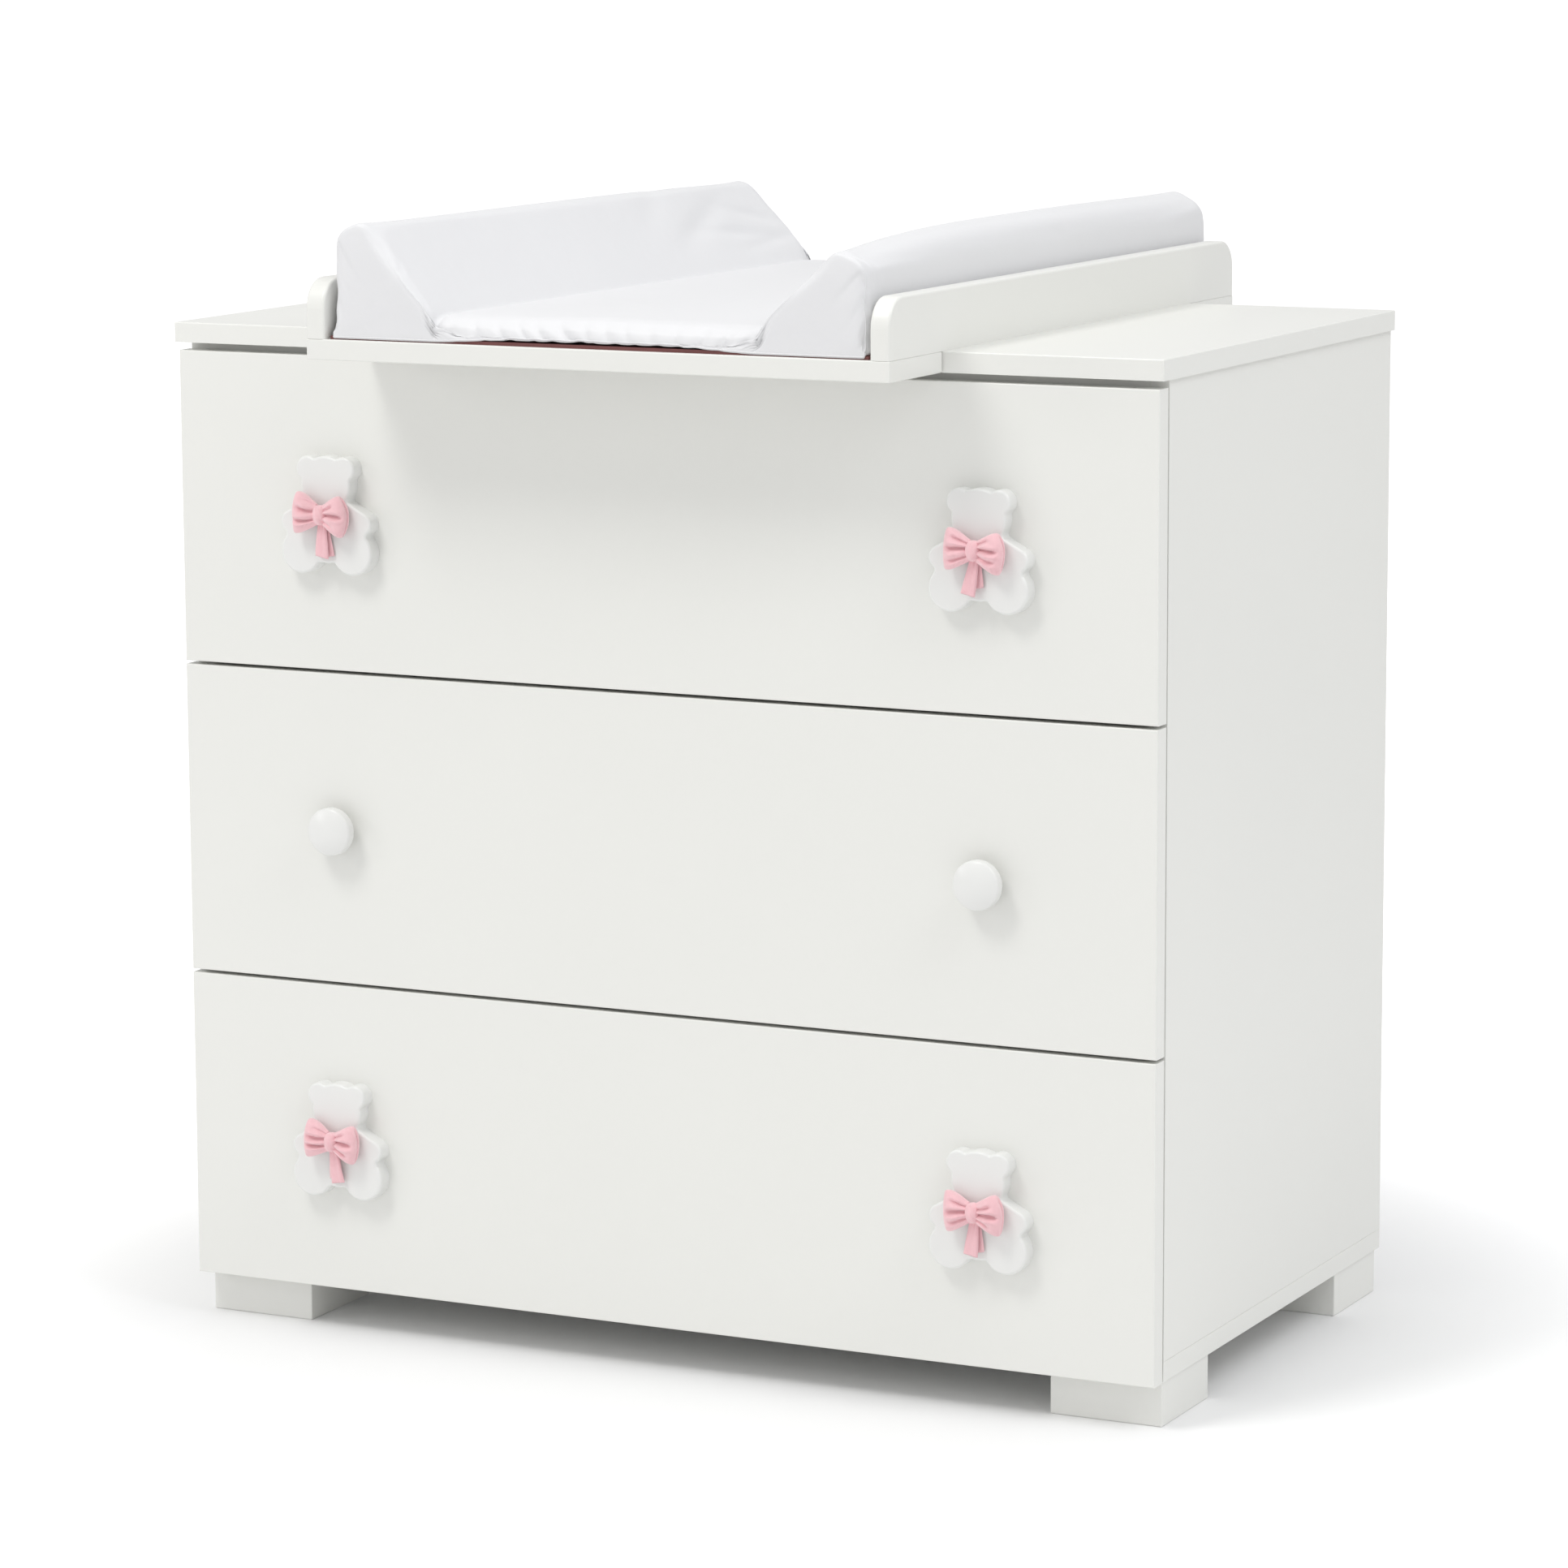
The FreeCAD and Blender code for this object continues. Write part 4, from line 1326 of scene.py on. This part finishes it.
def closed_shell(upper: np.ndarray, lower: np.ndarray, walls: int) -> tuple[np.ndarray, list]:
    """Join an upper and a lower grid of points, which share their side edges, into a closed skin.

    Args:
        upper: The upper grid, stations by points.
        lower: The lower grid, of the same size.
        walls: How many rows of faces close each end.

    Returns:
        The points and the faces.
    """
    stations, count = upper.shape[:2]
    points = [upper.reshape(-1, 3)]
    numbers_up = np.arange(stations * count).reshape(stations, count)
    numbers_low = np.empty_like(numbers_up)
    numbers_low[:, 0], numbers_low[:, -1] = numbers_up[:, 0], numbers_up[:, -1]
    inner = stations * (count - 2)
    numbers_low[:, 1:-1] = np.arange(inner).reshape(stations, count - 2) + stations * count
    points.append(lower[:, 1:-1].reshape(-1, 3))
    start = stations * count + inner
    faces = []
    for a in range(stations - 1):
        for b in range(count - 1):
            for grid, corners in ((numbers_up, ((0, 0), (0, 1), (1, 1), (1, 0))),
                                  (numbers_low, ((0, 0), (1, 0), (1, 1), (0, 1)))):
                faces.append(tuple(grid[a + i, b + j] for i, j in corners))
    for station, flip in ((0, False), (stations - 1, True)):
        rows = [numbers_low[station]]
        for wall in range(1, walls):
            share = wall / walls
            mixed = lower[station] * (1 - share) + upper[station] * share
            row = np.empty(count, dtype=int)
            row[0], row[-1] = numbers_up[station, 0], numbers_up[station, -1]
            row[1:-1] = np.arange(count - 2) + start
            start += count - 2
            points.append(mixed[1:-1])
            rows.append(row)
        rows.append(numbers_up[station])
        for low, high in zip(rows[:-1], rows[1:]):
            for b in range(count - 1):
                face = [low[b], low[b + 1], high[b + 1], high[b]]
                face = list(dict.fromkeys(int(spot) for spot in face))
                if len(face) > 2:
                    faces.append(tuple(face[::-1] if flip else face))
    whole = [tuple(int(spot) for spot in face) for face in faces]
    return np.vstack(points), whole


# ---------------------------------------------------------------- the bows

Pleat = tuple[float, float, float, float]


@dataclass(frozen=True)
class LoopShape:
    """One loop: how far its corners reach, how high and low it opens, and its pleats.

    Each pleat has its height across the loop from -1 to 1, its half width, its depth, and how far
    out it runs.
    """

    top: float
    bottom: float
    reach_top: float
    reach_middle: float
    reach_bottom: float
    pleats: tuple[Pleat, ...]


@dataclass(frozen=True)
class BowShape:
    """How one hand-tied bow differs from the next."""

    tilt: float
    left: LoopShape
    right: LoopShape
    front_lean: float
    back_lean: float
    back_drop: float


BOW_SHAPES = {
    "bear_bow_top_left": BowShape(
        0.0,
        LoopShape(21.5, 18.0, 24.0, 27.5, 27.0, ((0.30, 0.11, 0.85, 0.8), (-0.34, 0.10, 0.8, 0.95),
                                                 (0.78, 0.10, 0.35, 0.6))),
        LoopShape(18.5, 20.5, 21.0, 28.5, 23.0, ((-0.02, 0.10, 0.95, 0.9), (0.50, 0.09, 0.4, 0.6),
                                                 (-0.60, 0.10, 0.3, 0.55))),
        -0.01, 0.09, 1.0),
    "bear_bow_top_right": BowShape(
        -0.03,
        LoopShape(19.5, 18.5, 25.0, 27.0, 26.0, ((0.12, 0.11, 0.9, 0.9), (-0.50, 0.10, 0.6, 0.8),
                                                 (0.60, 0.09, 0.5, 0.7))),
        LoopShape(17.5, 20.0, 23.0, 28.5, 25.0, ((0.10, 0.10, 0.9, 0.85), (-0.42, 0.10, 0.55, 0.8),
                                                 (0.62, 0.09, 0.4, 0.6))),
        -0.13, 0.03, 0.86),
    "bear_bow_bottom_left": BowShape(
        -0.03,
        LoopShape(20.5, 17.0, 24.0, 27.5, 26.0, ((0.22, 0.11, 0.85, 0.85), (-0.30, 0.10, 0.85, 0.9),
                                                 (0.68, 0.09, 0.4, 0.6))),
        LoopShape(18.0, 19.0, 24.0, 28.0, 24.5, ((0.05, 0.11, 0.9, 0.85), (-0.52, 0.10, 0.5, 0.7),
                                                 (0.55, 0.10, 0.4, 0.6))),
        0.14, 0.05, 0.9),
    "bear_bow_bottom_right": BowShape(
        0.02,
        LoopShape(19.5, 18.5, 25.5, 27.0, 25.0, ((0.05, 0.12, 0.9, 0.9), (-0.48, 0.10, 0.55, 0.75),
                                                 (0.55, 0.10, 0.55, 0.7))),
        LoopShape(18.0, 19.5, 23.0, 28.5, 25.5, ((-0.08, 0.11, 0.9, 0.9), (0.42, 0.10, 0.5, 0.7),
                                                 (-0.58, 0.09, 0.4, 0.6))),
        -0.10, 0.02, 0.95),
}


@dataclass
class Bow:
    """A pink cotton bow on a bear: two stuffed loops, a knot and two folded tails."""

    node: str
    body: str
    shape: BowShape
    waist_half: float = 6.5 * MM
    puff: float = 8.2 * MM
    knot_half: float = 6.6 * MM
    knot_rise: float = 9.0 * MM
    knot_puff: float = 7.6 * MM
    tail_width: float = 11.5 * MM
    tail_length: float = 38 * MM
    tail_thick: float = 1.6 * MM
    middle: Vector = field(init=False)

    def __post_init__(self) -> None:
        """Find the knot's middle in front of the bear's neck from the frame."""
        low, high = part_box(self.node)
        self.back_y = high.y
        self.middle = Vector(((low.x + high.x) / 2, high.y - 0.3 * MM, high.z - 19 * MM))

    def loop(self, sign: int) -> bpy.types.Object:
        """Build one stuffed loop, pleated where the knot gathers it.

        Args:
            sign: -1 for the left loop, 1 for the right one.

        Returns:
            The loop.
        """
        shape = self.shape.left if sign < 0 else self.shape.right
        around = 128
        turns = np.linspace(0.0, 2.0 * math.pi, around, endpoint=False)
        up = np.sign(np.sin(turns)) * np.abs(np.sin(turns)) ** 0.85
        front = np.sign(np.cos(turns)) * np.abs(np.cos(turns)) ** 0.7
        top, bottom = shape.top * MM, shape.bottom * MM
        reach = np.where(
            up > 0,
            shape.reach_middle + (shape.reach_top - shape.reach_middle) * np.abs(up) ** 2.2,
            shape.reach_middle + (shape.reach_bottom - shape.reach_middle) * np.abs(up) ** 2.2) * MM
        rings = []
        for share in np.linspace(0.0, 1.0, 40):
            fan = smoothed(share, -0.45, 1.05)
            high = self.waist_half + (top - self.waist_half) * fan
            low = self.waist_half + (bottom - self.waist_half) * fan
            end = math.sqrt(max(0.0, 1.0 - max(0.0, (share - 0.62) / 0.383) ** 2.3))
            thick = (3.6 * MM + (self.puff - 3.6 * MM) * smoothed(share, 0.0, 0.5)) * max(end, 0.05)
            squeeze = 0.87 + 0.13 * end
            z = np.where(up > 0, high, low) * up * squeeze
            valley, swell = np.zeros(around), np.zeros(around)
            for place, half, deep, out in shape.pleats:
                fade = (1.0 - smoothed(share, out - 0.25, out + 0.1)) * smoothed(share, -0.2, 0.15)
                bend = place + 0.05 * math.sin(share * 5.0 + place * 9.0)
                valley += deep * fade * np.exp(-np.abs((up - bend) / half) ** 1.5)
                swell += 0.16 * fade * np.exp(-(((np.abs(up - bend) - 2.3 * half) / half) ** 2))
            depth = thick * front * (1.0 - np.clip(valley, 0.0, 0.93) * (0.25 + 0.75 * (front > 0)) + swell)
            x = sign * (3.0 * MM + (reach - 3.0 * MM) * share * (1.0 - 0.05 * np.clip(valley, 0.0, 1.0)))
            ring = np.column_stack([x, -self.puff - depth, z])
            rings.append(ring if sign > 0 else ring[::-1])
        side = "left" if sign < 0 else "right"
        return lofted(f"{self.node}_loop_{side}", np.array(rings))

    def knot(self) -> bpy.types.Object:
        """Build the round knot that wraps the waist, with two shallow wrap creases.

        Returns:
            The knot.
        """
        rings = []
        turns = np.linspace(0.0, 2.0 * math.pi, 56, endpoint=False)
        for share in np.linspace(0.03, 0.97, 26):
            angle = math.pi * share
            wide = math.sin(angle) ** 0.72
            narrow = 1.0 - 0.10 * math.cos(angle)
            z = -self.knot_rise * math.cos(angle)
            x = self.knot_half * wide * narrow * np.cos(turns)
            y = self.knot_puff * wide * np.sign(np.sin(turns)) * np.abs(np.sin(turns)) ** 0.9
            groove = 0.7 * MM * np.exp(-(((x + 0.4 * z - 2.2 * MM) / (0.8 * MM)) ** 2)) * (y > 0) * wide
            groove += 0.5 * MM * np.exp(-(((x + 0.2 * z + 2.8 * MM) / (0.8 * MM)) ** 2)) * (y > 0) * wide
            rings.append(np.column_stack([x, -(y - groove) - self.knot_puff - 0.6 * MM, np.full(56, z)]))
        return lofted(f"{self.node}_knot", np.array(rings))

    def tail(self, label: str, lean: float, forward: float, drop: float) -> bpy.types.Object:
        """Build one tail, folded over along one edge, that hangs from under the knot.

        Args:
            label: The tail's own word.
            lean: How far its lower end moves sideways, as a share of its length.
            forward: How far it lies in front of the plate, in metres.
            drop: Its length as a share of the usual one.

        Returns:
            The tail.
        """
        length = self.tail_length * drop
        fold_side = 1.0 if label == "front" else -1.0
        rings = []
        steps = 25
        spots = np.linspace(-1.0, 1.0, steps)
        for share in np.linspace(0.0, 1.0, 30):
            z = -2.0 * MM - (length - 2.0 * MM) * share
            mid_x = lean * length * share ** 1.2
            half = 0.5 * self.tail_width * (0.74 + 0.42 * smoothed(share, 0.05, 0.95))
            lift = forward + 1.2 * MM * math.sin(share * 2.9 + lean * 9.0) * share
            edge = 1.0 - np.abs(spots) ** 8
            folded = smoothed(fold_side * spots, 0.30, 0.42)
            gather = 0.7 * MM * np.cos(spots * 9.0 + 1.0) * (1.0 - smoothed(share, 0.0, 0.45))
            skin = 0.5 * self.tail_thick * (0.2 + 0.8 * edge)
            front = lift + skin + 0.75 * MM * folded * edge + gather
            back = lift - skin + gather
            cut = 1.3 * MM * spots * (1.0 if lean >= 0 else -1.0) * (share > 0.95)
            x = mid_x + half * spots
            face = np.column_stack([x, -front, z + cut])
            rear = np.column_stack([x, -back, z + cut])[::-1]
            rings.append(np.vstack([face, rear]))
        return lofted(f"{self.node}_tail_{label}", np.array(rings))

    def place(self, piece: bpy.types.Object, tilt: float) -> None:
        """Turn a piece about the knot and move it in front of the bear.

        Args:
            piece: The piece.
            tilt: The bow's tilt, in radians.
        """
        points = vertices(piece)
        turn, side = math.cos(tilt), math.sin(tilt)
        x = points[:, 0] * turn - points[:, 2] * side
        z = points[:, 0] * side + points[:, 2] * turn
        points[:, 0], points[:, 2] = x, z
        points += np.array(self.middle)
        points[:, 1] = np.minimum(points[:, 1], self.back_y)
        set_vertices(piece, points)

    def assemble(self, wardrobe: Wardrobe) -> None:
        """Build, dress and place the bow.

        Args:
            wardrobe: The finishes.
        """
        loops = [self.loop(-1), self.loop(1)]
        knot = self.knot()
        tails = [
            self.tail("front", self.shape.front_lean, 5.0 * MM, 1.0),
            self.tail("back", self.shape.back_lean, 1.6 * MM, self.shape.back_drop),
        ]
        for piece in (*loops, knot):
            refined(piece)
        for piece in (*loops, knot, *tails):
            self.place(piece, self.shape.tilt)
            wardrobe.dress(piece, "bow_cotton")
            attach(piece, self.body)
        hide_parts(self.node)
        log.info("bow %s", self.node)


# ---------------------------------------------------------------- studio

@dataclass(frozen=True)
class SoftLight:
    """A square soft light: its name, place, side in metres, power in watts and colour."""

    name: str
    place: tuple[float, float, float]
    size: float
    power: float
    tint: Colour

    def hang(self, target: Vector) -> None:
        """Hang the light so that it faces a target.

        Args:
            target: The point that it faces.
        """
        data = bpy.data.lights.new(self.name, "AREA")
        data.shape, data.size, data.energy, data.color = "SQUARE", self.size, self.power, self.tint
        light = bpy.data.objects.new(self.name, data)
        light.location = self.place
        light.rotation_euler = (target - Vector(self.place)).to_track_quat("-Z", "Y").to_euler()
        bpy.context.scene.collection.objects.link(light)


SOFT_LIGHTS = (
    SoftLight("key", (-1.3, -2.8, 4.6), 1.5, 77.0, (1.0, 0.995, 0.97)),
    SoftLight("left", (-3.0, -2.4, 1.7), 0.9, 8.0, (1.0, 1.0, 1.0)),
    SoftLight("right", (2.6, -0.7, 3.3), 1.8, 33.0, (0.97, 0.99, 1.0)),
    SoftLight("top", (0.2, 0.5, 5.6), 5.0, 42.0, (1.0, 1.0, 1.0)),
)


@dataclass
class Studio:
    """A pale floor, a white sky, soft lights and the camera."""

    azimuth: float = 26.29
    elevation: float = 9.37
    distance: float = 5.221
    aim_x: float = -6.9 * MM
    aim_z: float = 485.8 * MM
    lens: float = 131.1
    roll: float = -0.27
    floor_half: float = 9.0
    sky_strength: float = 0.64
    sky_seen: float = 1.1
    light_aim_z: float = 0.45

    def camera(self) -> None:
        """Place the camera on the object's front right, a little above it."""
        turn, rise = math.radians(self.azimuth), math.radians(self.elevation)
        back = Vector((math.sin(turn) * math.cos(rise), -math.cos(turn) * math.cos(rise), math.sin(rise)))
        low, high = CAD_BOX
        aim = Vector((self.aim_x, (low.y + high.y) / 2, self.aim_z))
        data = bpy.data.cameras.new("camera")
        data.lens = self.lens
        data.sensor_width = 36.0
        data.clip_end = 200.0
        camera = bpy.data.objects.new("camera", data)
        camera.location = aim + back * self.distance
        tip = Quaternion((0.0, 0.0, 1.0), math.radians(self.roll))
        camera.rotation_euler = ((-back).to_track_quat("-Z", "Y") @ tip).to_euler()
        bpy.context.scene.collection.objects.link(camera)
        bpy.context.scene.camera = camera

    def floor(self) -> None:
        """Lay a wide pale floor under the object."""
        steps = np.linspace(-1.0, 1.0, 9) * self.floor_half
        points = np.array([(x, y, 0.0) for y in steps for x in steps])
        firsts = [9 * row + column for row in range(8) for column in range(8)]
        faces = [(spot, spot + 1, spot + 10, spot + 9) for spot in firsts]
        floor = mesh_piece("studio_floor", points, faces)
        floor.data.materials.append(
            Paper("studio_paper", "", (0.93, 0.93, 0.935), (0.915, 0.915, 0.92), 0.8).material())

    def sky(self) -> None:
        """Surround the object with an even white sky, brighter where the camera sees it directly."""
        world = bpy.data.worlds.new("studio")
        world.use_nodes = True
        bench = Bench(world.node_tree)
        seen = bench.node("LightPath").outputs["Is Camera Ray"]
        extra = bench.math("MULTIPLY", seen, self.sky_seen - self.sky_strength)
        strength = bench.math("ADD", extra, self.sky_strength)
        background = world.node_tree.nodes["Background"]
        background.inputs["Color"].default_value = (1.0, 1.0, 1.0, 1.0)
        bench.join(strength, background.inputs["Strength"])
        bpy.context.scene.world = world

    def lights(self) -> None:
        """Light the object from the upper left, with weaker lights from the left, the right and above."""
        for light in SOFT_LIGHTS:
            light.hang(Vector((0.0, 0.0, self.light_aim_z)))

    def assemble(self) -> None:
        """Build the whole studio."""
        bpy.context.scene.view_settings.view_transform = "Standard"
        self.camera()
        self.floor()
        self.sky()
        self.lights()


def main() -> None:
    """Build every sub-assembly in order."""
    logging.basicConfig(level=logging.INFO, format="%(name)s: %(message)s")
    studio = Studio()
    studio.assemble()
    wardrobe = Wardrobe()
    Cabinet().assemble(wardrobe)
    for level, grip in ((Level.BOTTOM, Grip.BEAR), (Level.MIDDLE, Grip.KNOB), (Level.TOP, Grip.BEAR)):
        Drawer(level, grip).assemble(wardrobe)
    LiftTray().assemble(wardrobe)
    ChangingMat().assemble(wardrobe)
    wardrobe.check()


if __name__ == "__main__":
    main()
